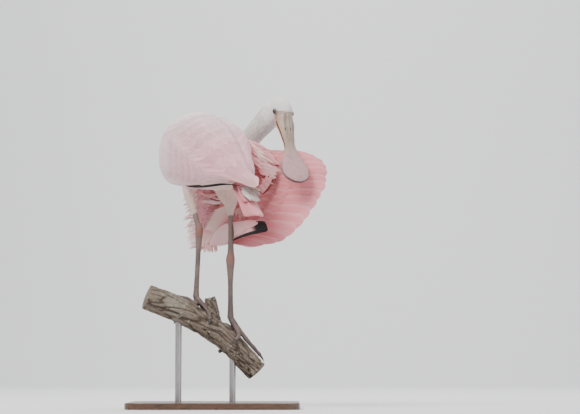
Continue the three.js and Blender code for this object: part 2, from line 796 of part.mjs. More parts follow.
// The folded hand of the right wing, with its primaries stacked side by side
function rightHand() {
  const [wrist, end] = [RIGHT_WRIST, RIGHT_HAND_END].map(vector);
  const tips = new THREE.CatmullRomCurve3(PRIMARY_TIPS.map(vector));
  const start = wrist.clone().lerp(end, 0.17);
  const keys = [[...start.toArray(), 7], [...end.toArray(), 6], [...end.clone().lerp(tips.getPoint(1), 0.1).toArray(), 3]];
  const palm = tube(keys, { steps: 4, sides: 8, up: [0.3, 1, 0] });
  const side = new THREE.Vector3(-0.85, -0.5, 0.1).normalize();
  const sheet = (across, along, deep) => start.clone().lerp(end, 0.2 + 0.8 * across)
    .lerp(curveAt(tips, across), along)
    .addScaledVector(new THREE.Vector3(-5, 0, mix(15, 5, across)), 4 * along * (1 - along))
    .addScaledVector(side, deep);
  const primaries = Array.from({ length: PRIMARY_COUNT }, (unused, i) => vane(sheet, FLIGHT, {
    middle: () => i / (PRIMARY_COUNT - 1),
    half: PRIMARY_HALF,
    rise: () => PRIMARY_STEP * (i - (PRIMARY_COUNT - 1) / 2),
  }));
  const coverts = [0, 1, 2].map((i) => vane((across, along, deep) => sheet(across, along * 0.42, deep), COVERT, {
    middle: () => 0.1 + 0.3 * i,
    half: 0.3 * OVERLAP,
    rise: () => 6.2,
    tilt: PRIMARY_STEP / 0.3,
  }));
  return [palm, ...primaries, ...coverts];
}

// The flesh and small feathers of the folded left wing, a pad that lies over the flank
function leftPad() {
  const front = [];
  const back = [];
  [121, 115, 102, 76, 40, 0, -45, -90, -124, -150].forEach((ahead) => {
    const row = [];
    const inner = [];
    for (let j = 0; j <= PAD_COLUMNS; j += 1) {
      const share = j / PAD_COLUMNS;
      const angle = -radians(mix(PAD_TOP, PAD_LOW, share));
      const rim = Math.min(1, 1.7 * Math.sin(Math.PI * (0.1 + 0.8 * share)));
      row.push(bodyPoint(CLOAK, ahead, angle, -PAD_IN - PAD_EDGE_IN * (1 - rim)));
      inner.push(bodyPoint(CLOAK, ahead, angle, -PAD_DEPTH));
    }
    front.push(row);
    back.push(inner);
  });
  return slab(front, back);
}

// The left wing's rows of feathers, each rising from the pad over the next row's roots
function leftFeathers() {
  return LEFT_ROWS.flatMap(({ count, root, tip, angles, close, top, outline }) => {
    const pitch = (angles[1] - angles[0]) / (count - 1);
    return Array.from({ length: count }, (unused, i) => {
      const angle = angles[0] + i * pitch;
      const end = tip + LEFT_SHORT * Math.abs(i - (count - 1) / 2);
      return vane(
        (across, along, deep) => bodyPoint(CLOAK, mix(root, end, along), -radians(across), deep),
        outline,
        {
          middle: (along) => mix(angle, close, LEFT_CLOSE * along),
          half: OVERLAP * pitch,
          rise: (along) => mix(SINK, top, along),
          tilt: LEFT_STEP / pitch,
          columns: pitch > 14 ? [-1, 0, 1] : [-1, 1],
        },
      );
    });
  });
}

// The tail, closed, its middle feathers on top, with coverts over and under its root
function tailFeathers() {
  const root = inBody(...TAIL_ROOT);
  const tip = vector(TAIL_TIP);
  const side = bodyFrame.right;
  const face = tip.clone().sub(root).cross(side).normalize();
  const sheet = (across, along, deep) => root.clone().lerp(tip, along)
    .addScaledVector(side, across * mix(TAIL_SPREAD[0], TAIL_SPREAD[1], along) / TAIL_SPREAD[1])
    .addScaledVector(face, deep);
  const feathers = Array.from({ length: TAIL_COUNT }, (unused, i) => {
    const k = i - (TAIL_COUNT - 1) / 2;
    const level = 2 * Math.abs(k) - 1 + (k < 0 ? 1 : 0);
    return vane(sheet, FLIGHT, {
      middle: () => k * TAIL_SPREAD[1],
      half: TAIL_HALF,
      rise: () => -TAIL_STEP * level,
    });
  });
  const coverts = [[2.8, 0.5], [-10.4, 0.62]].flatMap(([rise, reach]) => [-1, 0, 1].map((k) => vane(
    (across, along, deep) => sheet(across, along * reach, deep),
    COVERT,
    { middle: () => k * 10, half: 9, rise: () => rise, tilt: 0.12 },
  )));
  const low = (along) => sheet(0, along, -4).toArray();
  const stump = tube([[...low(0), 12], [...low(0.2), 9], [...low(0.32), 3]], { steps: 4, sides: 10, up: side.toArray() });
  return [stump, ...feathers, ...coverts];
}

const group = new THREE.Group();
const colours = {
  plumage: [0xf1dfe2, 0.85],
  pink: [0xd98a93, 0.8],
  white: [0xeeebe8, 0.85],
  bill: [0xbba4a0, 0.5],
  eye: [0x2a1a18, 0.15],
  leg: [0x7c6a66, 0.65],
  bark: [0x6f665c, 0.95],
  base: [0x3a302a, 0.5],
  steel: [0x9a9a9a, 0.35],
};

function addNode(name, geometry, look) {
  const [color, roughness] = colours[look];
  const material = new THREE.MeshStandardMaterial({ color, roughness, metalness: look === 'steel' ? 0.9 : 0 });
  const mesh = new THREE.Mesh(geometry, material);
  mesh.name = name;
  group.add(mesh);
}

const grownTorso = solid(torsoGeometry(GAP));
const grownSkull = solid(skullGeometry(GAP));
const eyes = [-1, 1].map((side) => ball(eyeCentre(side), EYE_RADIUS));
const grownEyes = join([-1, 1].map((side) => ball(eyeCentre(side), EYE_RADIUS + GAP)));
const eyeRooms = join([-1, 1].map((side) => ball(eyeCentre(side), EYE_RADIUS + LID_ROOM)));
const grownBill = join([billGeometry(1, 2 * GAP), billGeometry(-1, 2 * GAP)]);

addNode('torso', torsoGeometry(), 'plumage');
['neck_lower', 'neck_middle', 'neck_upper'].forEach((name, i) => {
  const from = NECK_SPLITS[i] + (i > 0 ? NECK_JOINT : 0);
  const piece = solid(neckGeometry(from, NECK_SPLITS[i + 1]))
    .subtract(grownTorso).subtract(grownSkull).subtract(eyeRooms).subtract(grownBill);
  addNode(name, geometryOf(largest(piece)), 'white');
});

const mouth = join([-1, 1].map((side) => block(BILL_BASE, billFrame, [-MOUTH_LENGTH / 2, side * MOUTH_OUT, 0],
  [MOUTH_CUT, MOUTH_LENGTH + MOUTH_CUT, MOUTH_WIDTH])));
const head = join([skullGeometry(), lidGeometry(-1), lidGeometry(1)])
  .subtract(grownBill).subtract(grownEyes).subtract(mouth);
addNode('head', geometryOf(largest(head)), 'white');
const [forward, out, high] = NOSTRIL_PLACE;
const nostrils = join([-1, 1].map((side) => block(BILL_BASE, billFrame, [forward, side * out, high], NOSTRIL_SIZE)));
addNode('bill_upper', geometryOf(solid(billGeometry(1)).subtract(nostrils)), 'bill');
addNode('bill_lower', billGeometry(-1), 'bill');
addNode('eye_left', eyes[0], 'eye');
addNode('eye_right', eyes[1], 'eye');

const grownNeck = solid(neckGeometry(0, 1, GAP));
const arm = largest(join([rightArm(), rightPatagium(), ...rightFeathers(), ...rightFringe()])
  .subtract(grownTorso).subtract(grownNeck));
const grownThigh = solid(tube(THIGH_LEFT.map(([x, y, z, r]) => [x, y, z, r + GAP]), THIGH_SHAPE));
const leftWing = join([leftPad(), ...leftFeathers()]).subtract(grownTorso).subtract(grownNeck).subtract(grownThigh);
addNode('wing_left', geometryOf(largest(leftWing)), 'plumage');
addNode('wing_right_arm', geometryOf(arm), 'pink');
addNode('wing_right_hand', geometryOf(largest(join(rightHand()).subtract(arm))), 'pink');
addNode('tail', geometryOf(largest(join(tailFeathers()).subtract(grownTorso))), 'pink');

[['left', THIGH_LEFT, SHANK_LEFT], ['right', THIGH_RIGHT, SHANK_RIGHT]].forEach(([side, thigh, shank]) => {
  const upper = solid(tube(thigh, THIGH_SHAPE));
  const grownShank = solid(shankGeometry(shank, GAP));
  addNode(`thigh_${side}`, geometryOf(largest(upper.subtract(grownTorso).subtract(grownShank))), 'plumage');
  addNode(`shank_${side}`, shankGeometry(shank), 'leg');
});

const perch = join([perchGeometry(), stubGeometry()]);
const grownPerch = join([perchGeometry(GAP), stubGeometry(GAP)]);
const grownRods = join(ROD_X.map((x) => rodGeometry(x, GAP)));
[['left', TOES_LEFT, SHANK_LEFT], ['right', TOES_RIGHT, SHANK_RIGHT]].forEach(([side, toes, shank]) => {
  const start = vector(shank[shank.length - 1]);
  const grownShank = solid(shankGeometry(shank, GAP));
  const foot = footGeometry(start, toes).subtract(grownShank).subtract(grownPerch);
  addNode(`foot_${side}`, geometryOf(largest(foot)), 'leg');
});
addNode('perch', geometryOf(largest(perch.subtract(grownRods))), 'bark');
ROD_X.forEach((x, i) => addNode(`stand_rod_${i + 1}`, rodGeometry(x), 'steel'));
addNode('stand_base', baseGeometry(), 'base');

export default group;
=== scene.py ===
"""A life-size roseate spoonbill on a cut branch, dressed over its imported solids."""
import math

import bmesh
import bpy
import numpy as np
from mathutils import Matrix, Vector
from mathutils.bvhtree import BVHTree


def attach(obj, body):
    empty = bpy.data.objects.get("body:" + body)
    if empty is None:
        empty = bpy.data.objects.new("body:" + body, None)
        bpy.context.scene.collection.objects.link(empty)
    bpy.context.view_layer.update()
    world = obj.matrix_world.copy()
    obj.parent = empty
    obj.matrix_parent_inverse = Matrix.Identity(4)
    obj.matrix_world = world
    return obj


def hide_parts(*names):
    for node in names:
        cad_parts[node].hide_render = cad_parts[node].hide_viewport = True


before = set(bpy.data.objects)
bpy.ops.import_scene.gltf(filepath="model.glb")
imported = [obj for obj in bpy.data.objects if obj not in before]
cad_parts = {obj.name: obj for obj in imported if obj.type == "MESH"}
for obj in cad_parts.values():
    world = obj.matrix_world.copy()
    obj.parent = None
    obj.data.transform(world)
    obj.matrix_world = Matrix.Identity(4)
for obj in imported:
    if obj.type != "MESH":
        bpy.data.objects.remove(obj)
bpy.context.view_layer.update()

# Sizes are in millimetres here, and in metres in Blender
MM = 0.001
SEED = 465

# The view: what it looks at, from how far, its tilt up in degrees, and its picture's width there
VIEW_TARGET = (141.75, 0, 378.8)
VIEW_DISTANCE = 3500
VIEW_TILT = 5
VIEW_WIDTH = 580 * 1.89

# Body: its own frame is forward, right and up. Tables run along it: forward, middle, half width, half height
BODY_CENTRE = (-12, 0, 480)
BODY_YAW = 64
BODY_PITCH = 15
# How square the body's rings are: 1 is an ellipse
BODY_SQUARE = 0.86
TORSO = [
    (-170, -14, 13, 9), (-150, -12, 32, 23), (-110, -9, 46, 40), (-60, -4, 57, 57), (0, -3, 63, 68),
    (60, -6, 61, 70), (105, -10, 52, 60), (132, -9, 33, 39), (146, -7, 11, 13),
]
CLOAK = [
    (-245, -24, 4, 3), (-230, -23, 11, 8), (-190, -17, 23, 18), (-150, -11, 39, 32), (-110, -8, 55, 49),
    (-60, -5, 67, 67), (0, -5, 75, 77), (60, -8, 75, 80), (100, -11, 64, 68), (122, -11, 46, 51),
]
# Where the right shoulder swells: degrees from the top, and distance ahead
SHOULDER_TURN = (0, 25, 80, 115)
SHOULDER_REACH = (-100, -40, 92, 121)
# How deep the skin lies in the solids, and the size of the cubes that it is rebuilt from
BODY_COAT = 3.0
THIGH_COAT = 1.6
NECK_COAT = 1.8
HEAD_COAT = 0.7
SKIN_CUBE = 2.0

# Neck: middle line and radius
NECK = [
    (-58, 96, 502, 42), (-66, 134, 498, 38), (-40, 164, 491, 33), (8, 154, 492, 29), (42, 134, 504, 24.5),
    (65, 114, 525, 21), (78, 107, 539, 21), (96, 104, 558, 23.5), (108, 105, 571, 25), (119, 105, 580, 20),
]

# Head: its table runs along the skull: forward, half width, half height
SKULL_CENTRE = (124.8, 93, 576.5)
SKULL_FORWARD = (0.33, -0.74, -0.585)
HEAD_ROLL = -6
SKULL = [
    (-35, 4, 4), (-31, 12, 11), (-19, 19, 18.5), (-4, 21.5, 21.5), (8, 20.6, 20.8), (17, 17.5, 18.5),
    (25, 14.2, 15), (30, 10, 10),
]
# The face is bare ahead of this and under a line that slopes up from the eyes to the forehead, and so is the
# skin this near to the middle of an eye
FACE_START = 13.5
FACE_SLOPE = 0.66
EYE_BARE = 5.6

# Bill: distance from its base, half width, height of the upper half, depth of the lower half
BILL_BASE = (129.2, 84.5, 560.8)
BILL_FORWARD = (0.159, -0.606, -0.779)
BILL = [
    (0, 14.6, 12.4, 8.4), (12, 16, 12.2, 8.6), (24, 15.5, 11.2, 8.2), (40, 13.2, 9.6, 7.2),
    (56, 11.7, 7.4, 5.8), (76, 10.1, 5.4, 4.4), (92, 12.2, 4.4, 3.4), (108, 17.4, 3.6, 2.9),
    (124, 23, 3.1, 2.5), (138, 26.8, 2.9, 2.3), (152, 26.3, 2.7, 2.2), (163, 21.8, 2.5, 2),
    (170, 14, 2.2, 1.8), (174, 6, 1.6, 1.3),
]
BILL_LENGTH = 174
# How much wider the lower half is at its base, how many degrees it is open, and how much higher the upper
# half's root is, where it slopes up to the forehead
BILL_LOWER_WIDE = 1.22
BILL_OPEN = 1.2
BILL_SLOPE = 7.5
# A nostril's distance from the base and from the middle
NOSTRIL = (41, 5.6)

# Eyes: radius, place ahead, out and up on the skull, how many degrees they look ahead, and sides. Lids: how
# many degrees they are open round the eye's axis, and thickness
EYE_RADIUS = 5.8
EYE_PLACE = (11, 16.8, 0.8)
EYE_LEAN = 19
EYE_SIDES = 48
LID_OPENING = 36
LID_THICKNESS = 0.35

# Right wing: its joints, its front edge, the roots and tips of its feathers from the body to the wrist, how
# they bow, which way small feathers face, the way to the near side, and the tips of its hand
RIGHT_SHOULDER = (-12, 98, 518)
RIGHT_ELBOW = (55, 62, 435)
RIGHT_WRIST = (-22, 106, 312)
RIGHT_HAND_END = (22, 48, 309)
RIGHT_FRONT_EDGE = [(-20, 104, 500), (-44, 116, 440), (-46, 118, 390), (-42, 116, 345), (-34, 110, 308)]
RIGHT_ROOTS = [
    (20, 82, 498), (38, 73, 470), (51, 65, 446), (50, 65, 427), (38, 71, 406), (23, 80, 382), (8, 89, 358),
    (-7, 97, 334), (-19, 104, 316),
]
RIGHT_TIPS = [
    (118, 54, 484), (157, 40, 490), (191, 20, 477), (212, 4, 453), (209, 8, 423), (193, 8, 390),
    (168, -2, 350), (130, -20, 315), (86, -42, 302),
]
RIGHT_BOW = (2, 6, 9)
SMALL_FACE = (-0.2, -0.97, 0.1)
NEAR_SIDE = (-0.45, -0.89, 0)
PRIMARY_TIPS = [(58, -52, 344), (80, -84, 347), (97, -120, 342), (106, -150, 326)]
TAIL_ROOT = (-146, 0, -20)
TAIL_TIP = (83, -185, 347)

# Legs, perch and stub: middle line and radius. Toes are X along the perch and turn about it
THIGH_LEFT = [
    (-38, 6, 452, 30), (-45, -8, 425, 20), (-48, -20, 404, 12.5), (-43, -26, 382, 9), (-37, -29, 360, 6.6),
]
THIGH_RIGHT = [
    (20, 24, 450, 30), (24, 6, 424, 30), (27, -6, 402, 24), (29.5, -12, 382, 12.5), (30, -15, 360, 6.6),
]
SHANK_LEFT = [
    (-40, -28, 372, 4.6), (-31, -31, 345, 5.2), (-28, -32, 334, 7.6), (-28.5, -31, 322, 6.6),
    (-30, -28, 290, 4.7), (-32, -24, 250, 4.6), (-33.5, -21, 222, 5), (-34, -20, 208, 6.2),
]
SHANK_RIGHT = [
    (30, -14, 374, 4.6), (30.5, -17, 320, 4.9), (30.5, -18, 292, 6), (30, -18, 278, 8.4), (30, -17, 264, 7),
    (30, -14, 235, 4.8), (30, -8, 200, 4.8), (30, -4, 182, 5.4), (30, -3, 170, 6.4),
]
ANKLE_HEIGHT = {"left": 332, "right": 278}
TOE_RADIUS = 4.4
TOES_LEFT = [
    [(-46, 2), (-62, -8), (-76, -28), (-82, -52)],
    [(-42, -26), (-50, -70), (-57, -112), (-60, -150), (-62, -172)],
    [(-28, -30), (-22, -72), (-18, -108), (-16, -136)],
    [(-24, 34), (-18, 68), (-15, 92)],
]
TOES_RIGHT = [
    [(20, -14), (10, -30), (2, -56), (-2, -84)],
    [(32, -34), (34, -80), (31, -118), (27, -152), (24, -174)],
    [(42, 8), (54, 4), (67, -2), (77, -14)],
    [(29, 40), (29, 72), (29, 98)],
]
PERCH = [
    (-124, -44, 207, 24), (-90, -35, 194, 24.5), (-55, -25, 178, 24), (-20, -16, 158, 23.5),
    (8, -9, 140, 23.5), (34, -3, 117, 23), (58, 3, 92, 22), (79, 8, 69, 21),
]
PERCH_RADIUS = 23.5
STUB_ROOT = (0, -14, 160)
STUB_END = (-7, -26, 205)
STUB_RADIUS = 12
# The length and radius on which the bark's pattern is laid out
BARK_LENGTH = 250
BARK_RADIUS = 24
# The width of the camera's sensor
SENSOR = 36

# The coat: how far apart feathers grow as a share of their size, how many places are tried for each that has
# room, how many triangles one piece may have, and how far the guides of its lie reach
COAT_SPACING = 0.42
COAT_CROWD = 3.2
PIECE_TRIANGLES = 190000
GUIDE_REACH = 14.0
# How many points are followed at once
LIE_BATCH = 4000

# Feather outlines: share of the length, share of the half width there, and where the tip's rounding starts
FLIGHT = ([0, 0.3, 0.7, 1], [0.5, 0.86, 1, 0.94], 0.9)
COVERT = ([0, 0.3, 0.7, 1], [0.6, 0.92, 1, 0.9], 0.8)
POINTED = ([0, 0.3, 0.6, 0.85, 1], [0.6, 1, 0.85, 0.5, 0.3], 0.9)
PLUME = ([0, 0.2, 0.5, 0.85, 1], [0.4, 0.85, 1, 0.62, 0.35], 0.85)
# Where a vane's points lie across it, from edge to edge, and how many lie along a lone feather
FINE = np.array([-1, -0.82, -0.6, -0.38, -0.18, -0.07, 0, 0.07, 0.18, 0.38, 0.6, 0.82, 1])
COARSE = np.array([-1, -0.7, -0.35, 0, 0.35, 0.7, 1])
LONE_ROWS = 12


def unit(v):
    v = np.asarray(v, float)
    return v / np.maximum(np.linalg.norm(v, axis=-1, keepdims=True), 1e-9)


def mix(a, b, t):
    return a + (b - a) * t


def between(first, last, share):
    """Colours or points between two, one for each share."""
    return mix(first, last, np.asarray(share)[..., None])


def ease(x, low, high):
    t = np.clip((np.asarray(x, float) - low) / (high - low), 0, 1)
    return t * t * (3 - 2 * t)


def within(x, limits):
    """How far a value is between the inner two of four limits, from 0 to 1."""
    return ease(x, limits[0], limits[1]) * (1 - ease(x, limits[2], limits[3]))


def circle(count):
    """The angles of a full turn."""
    return np.arange(count) * 2 * math.pi / count


def middle_line(keys):
    """The places of a path's keys, without their radius."""
    return np.array(keys, float)[:, :3]


def outlined(outline, share):
    """Half widths along a feather, which end in a rounded tip."""
    places, widths, start = outline
    tip = np.clip((share - start) / (1 - start), 0, 1)
    return np.interp(share, places, widths) * np.sqrt(np.maximum(1 - tip**2, 0.004))


def table_at(table, place):
    """Smooth values between the rows of a table, whose first column is the place."""
    rows = np.asarray(table, float)
    x = rows[:, 0]
    slopes = np.empty_like(rows)
    slopes[1:-1] = (rows[2:] - rows[:-2]) / (x[2:] - x[:-2])[:, None]
    slopes[0] = (rows[1] - rows[0]) / (x[1] - x[0])
    slopes[-1] = (rows[-1] - rows[-2]) / (x[-1] - x[-2])
    place = np.asarray(place, float)
    i = np.clip(np.searchsorted(x, place, side="right") - 1, 0, len(x) - 2)
    span = x[i + 1] - x[i]
    t = np.clip((place - x[i]) / span, 0, 1)[..., None]
    span = span[..., None]
    value = ((2 * t**3 - 3 * t**2 + 1) * rows[i] + (t**3 - 2 * t**2 + t) * span * slopes[i]
             + (3 * t**2 - 2 * t**3) * rows[i + 1] + (t**3 - t**2) * span * slopes[i + 1])
    return np.moveaxis(value[..., 1:], -1, 0)


def curve_at(points, share):
    """Points on a smooth line through `points`, which runs on straight past its ends."""
    pts = np.asarray(points, float)
    share = np.asarray(share, float)
    last = len(pts) - 1
    place = np.clip(share, 0, 1) * last
    i = np.minimum(place.astype(int), last - 1)
    w = (place - i)[..., None]
    padded = np.vstack([2 * pts[0] - pts[1], pts, 2 * pts[-1] - pts[-2]])
    p0, p1, p2, p3 = (padded[i + k] for k in range(4))

    def gap(a, b):
        return np.sum((a - b) ** 2, axis=-1, keepdims=True) ** 0.25

    d0, d1, d2 = gap(p0, p1), gap(p1, p2), gap(p2, p3)
    d1 = np.where(d1 < 1e-4, 1, d1)
    d0 = np.where(d0 < 1e-4, d1, d0)
    d2 = np.where(d2 < 1e-4, d1, d2)
    s1 = ((p1 - p0) / d0 - (p2 - p0) / (d0 + d1) + (p2 - p1) / d1) * d1
    s2 = ((p2 - p1) / d1 - (p3 - p1) / (d1 + d2) + (p3 - p2) / d2) * d1
    inside = p1 + s1 * w + (3 * p2 - 3 * p1 - 2 * s1 - s2) * w**2 + (2 * p1 - 2 * p2 + s1 + s2) * w**3
    if np.all((share >= 0) & (share <= 1)):
        return inside
    ends = curve_at(pts, np.array([0, 0.02, 0.98, 1]))
    before = (ends[1] - ends[0]) / 0.02 * np.minimum(share, 0)[..., None]
    after = (ends[3] - ends[2]) / 0.02 * np.maximum(share - 1, 0)[..., None]
    return inside + before + after


def heading(points, share):
    """The way that a smooth line runs at shares of it."""
    return unit(curve_at(points, np.minimum(share + 1e-3, 1)) - curve_at(points, np.maximum(share - 1e-3, 0)))


def directions(forward, roll=0):
    """Forward, right and up, turned about forward by roll."""
    ahead = unit(forward)
    level = unit(np.cross(ahead, (0, 0, 1)))
    turn = math.radians(roll)
    right = level * math.cos(turn) + np.cross(ahead, level) * math.sin(turn)
    return ahead, right, np.cross(right, ahead)


def placed(origin, axes, ahead, right, up):
    """Points given along a set of directions."""
    ahead, right, up = np.broadcast_arrays(ahead, right, up)
    return (np.asarray(origin, float) + ahead[..., None] * axes[0] + right[..., None] * axes[1]
            + up[..., None] * axes[2])


def seen(x, s, y):
    """Points that the view shows at x across and s up its picture, and that lie y away."""
    x, s, y = (v.astype(float) for v in np.broadcast_arrays(x, s, y))
    rise, run = math.sin(math.radians(VIEW_TILT)), math.cos(math.radians(VIEW_TILT))
    z = s
    for _ in range(12):
        share = VIEW_DISTANCE / (VIEW_DISTANCE + y * run + (z - VIEW_TARGET[2]) * rise)
        z = VIEW_TARGET[2] + ((s - VIEW_TARGET[2]) / share + y * rise) / run
    return np.stack([VIEW_TARGET[0] + (x - VIEW_TARGET[0]) / share, y, z], -1)


yaw, pitch = math.radians(BODY_YAW), math.radians(BODY_PITCH)
BODY = directions((-math.cos(yaw) * math.cos(pitch), math.sin(yaw) * math.cos(pitch), math.sin(pitch)))
HEAD = directions(SKULL_FORWARD, HEAD_ROLL)
BEAK = directions(BILL_FORWARD, HEAD_ROLL)


def body_place(points):
    """How far points lie ahead, right and up from the body's middle."""
    rel = points - np.array(BODY_CENTRE)
    return rel @ BODY[0], rel @ BODY[1], rel @ BODY[2]


def squared(value):
    return np.sign(value) * np.abs(value) ** BODY_SQUARE


def body_point(table, ahead, degrees, grow=0):
    """A point on the body: degrees run from the top down the near side."""
    ahead, degrees, grow = np.broadcast_arrays(*(np.asarray(v, float) for v in (ahead, degrees, grow)))
    middle, half_width, half_height = table_at(table, ahead)
    turn = np.radians(degrees)
    return placed(BODY_CENTRE, BODY, ahead, -squared(np.sin(turn)) * (half_width + grow),
                  middle + squared(np.cos(turn)) * (half_height + grow))


def tube_rings(keys, steps, sides, grow, up=(0, 0, 1)):
    """Rings of a round tube along a smooth path: each key is x, y, z and a radius."""
    keys = np.asarray(keys, float)
    t = np.linspace(0, 1, steps + 1)
    centre = curve_at(keys[:, :3], t)
    flat = np.zeros((len(keys), 3))
    flat[:, 0] = keys[:, 3]
    radius = curve_at(flat, t)[:, :1] + grow
    ahead = heading(keys[:, :3], t)
    side = unit(np.cross(ahead, up))
    lift = np.cross(side, ahead)
    turn = circle(sides)
    return (centre[:, None] + (np.cos(turn)[None, :, None] * side[:, None]
                               + np.sin(turn)[None, :, None] * lift[:, None]) * radius[:, None])


def new_object(name, mesh, material=None):
    obj = bpy.data.objects.new(name, mesh)
    bpy.context.scene.collection.objects.link(obj)
    if material:
        mesh.materials.append(material)
    return obj


def paint(mesh, tints):
    """Gives each point of a mesh its colour."""
    layer = mesh.color_attributes.new("tint", "FLOAT_COLOR", "POINT")
    layer.data.foreach_set("color", np.hstack([tints, np.ones((len(tints), 1))]).astype(np.float32).ravel())


def read(items, key, width, kind=np.float32):
    """One value of each item of a mesh, in rows."""
    values = np.empty(len(items) * width, kind)
    items.foreach_get(key, values)
    return values.reshape(-1, width)


def reworked(mesh, change):
    """The mesh after a change that bmesh makes."""
    work = bmesh.new()
    work.from_mesh(mesh)
    change(work)
    work.to_mesh(mesh)
    work.free()
    return mesh


def fill_mesh(name, points, faces, layers=None, tints=None, normals=None):
    """A mesh of points in millimetres and faces with equally many corners. A layer is a UV for each point."""
    faces = np.asarray(faces)
    mesh = bpy.data.meshes.new(name)
    mesh.vertices.add(len(points))
    mesh.vertices.foreach_set("co", (np.asarray(points, float) * MM).astype(np.float32).ravel())
    mesh.loops.add(faces.size)
    mesh.loops.foreach_set("vertex_index", faces.ravel().astype(np.int32))
    mesh.polygons.add(len(faces))
    mesh.polygons.foreach_set("loop_start", np.arange(0, faces.size, faces.shape[1], dtype=np.int32))
    mesh.update(calc_edges=True)
    mesh.polygons.foreach_set("use_smooth", np.ones(len(faces), bool))
    for key, uv in (layers or {}).items():
        layer = mesh.uv_layers.new(name=key)
        layer.data.foreach_set("uv", np.asarray(uv, np.float32)[faces.ravel()].ravel())
    if tints is not None:
        paint(mesh, tints)
    if normals is not None:
        mesh.normals_split_custom_set_from_vertices(normals.astype(np.float32))
    return mesh


def ring_mesh(name, rings, tints=None):
    """A closed mesh through rings of points, each end closed to its middle, with its faces outward."""
    rings = np.asarray(rings, float)
    count, sides = rings.shape[:2]
    points = np.vstack([rings.reshape(-1, 3), rings[0].mean(0), rings[-1].mean(0)])
    index = np.arange(count * sides).reshape(count, sides)
    after = np.roll(index, -1, axis=1)
    quads = np.stack([index[:-1], after[:-1], after[1:], index[1:]], -1).reshape(-1, 4)
    low, high = count * sides, count * sides + 1
    caps = [(int(b), int(a), low) for a, b in zip(index[0], after[0])]
    caps += [(int(a), int(b), high) for a, b in zip(index[-1], after[-1])]
    mesh = bpy.data.meshes.new(name)
    mesh.from_pydata((points * MM).tolist(), [], quads.tolist() + caps)
    mesh.update()
    mesh.polygons.foreach_set("use_smooth", np.ones(len(mesh.polygons), bool))
    if tints is not None:
        paint(mesh, np.vstack([tints, tints[:1], tints[-1:]]))
    return reworked(mesh, lambda work: bmesh.ops.recalc_face_normals(work, faces=work.faces))


def shown(name, mesh, material, nodes=()):
    """The finished piece, riding on the model's one body, in place of some of its solids."""
    obj = new_object(name, mesh, material)
    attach(obj, "root")
    if nodes:
        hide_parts(*nodes)
    return obj


def rgb(red, green, blue):
    """A screen colour, 0 to 255, as linear light."""
    value = np.array([red, green, blue], float) / 255
    return np.where(value <= 0.04045, value / 12.92, ((value + 0.055) / 1.055) ** 2.4)


WHITE = rgb(240, 232, 230)
BLUSH = rgb(240, 202, 209)
ROSE = rgb(230, 154, 163)
SALMON = rgb(217, 126, 129)
CORAL = rgb(190, 90, 85)
CARMINE = rgb(136, 44, 39)
IVORY = rgb(236, 214, 204)
BEIGE = rgb(204, 184, 168)
SMOKE = rgb(212, 203, 199)
ASH = rgb(168, 156, 152)
SOOT = rgb(15, 12, 12)
FACE = rgb(166, 151, 136)
PURPLE = rgb(92, 74, 78)


class Nodes:
    """A small helper to wire a material's nodes."""

    def __init__(self, name):
        self.material = bpy.data.materials.new(name)
        self.material.use_nodes = True
        self.tree = self.material.node_tree
        self.shader = self.tree.nodes["Principled BSDF"]

    def add(self, kind, values=None, **settings):
        node = self.tree.nodes.new(kind)
        for key, value in settings.items():
            setattr(node, key, value)
        for key, value in (values or {}).items():
            if hasattr(value, "links"):
                self.tree.links.new(value, node.inputs[key])
            else:
                node.inputs[key].default_value = value
        return node

    def link(self, output, socket):
        self.tree.links.new(output, socket)

    def math(self, operation, first, second=None):
        values = {0: first} if second is None else {0: first, 1: second}
        return self.add("ShaderNodeMath", values, operation=operation).outputs[0]

    def plus(self, first, second):
        return self.math("ADD", first, second)

    def times(self, first, second):
        return self.math("MULTIPLY", first, second)

    def ramp(self, factor, low, high, start=0.0, end=1.0):
        values = {"Value": factor, "From Min": low, "From Max": high, "To Min": start, "To Max": end}
        return self.add("ShaderNodeMapRange", values, interpolation_type="SMOOTHSTEP").outputs[0]

    def blend(self, factor, first, second, mode="MIX"):
        values = {0: factor}
        for socket, colour in ((6, first), (7, second)):
            values[socket] = colour if hasattr(colour, "links") else (*colour, 1)
        return self.add("ShaderNodeMix", values, data_type="RGBA", blend_type=mode).outputs[2]

    def layers(self, colour, *layers, mask=None):
        """The base colour: layers over one another, each a noise, its ramp and a colour."""
        for noise, ramp, over in layers:
            factor = self.ramp(noise, *ramp)
            colour = self.blend(factor if mask is None else self.times(mask, factor), colour, over)
        self.link(colour, self.shader.inputs["Base Color"])

    def noise(self, vector, scale, detail, rough=0.55, stretch=None):
        if stretch:
            vector = self.add("ShaderNodeMapping", {"Vector": vector, "Scale": stretch}).outputs[0]
        return self.add("ShaderNodeTexNoise", {"Vector": vector, "Scale": scale, "Detail": detail,
                                               "Roughness": rough}).outputs[0]

    def place(self):
        return self.add("ShaderNodeTexCoord").outputs["Object"]

    def uv(self, name):
        return self.add("ShaderNodeUVMap", uv_map=name).outputs[0]

    def attribute(self, name):
        return self.add("ShaderNodeAttribute", attribute_name=name).outputs["Color"]

    def bump(self, height, strength, distance):
        node = self.add("ShaderNodeBump", {"Height": height, "Strength": strength, "Distance": distance})
        self.link(node.outputs[0], self.shader.inputs["Normal"])

    def finished(self, **values):
        """The material, with some of its shader's constants."""
        for key, value in values.items():
            self.shader.inputs[key.replace("_", " ")].default_value = value
        return self.material


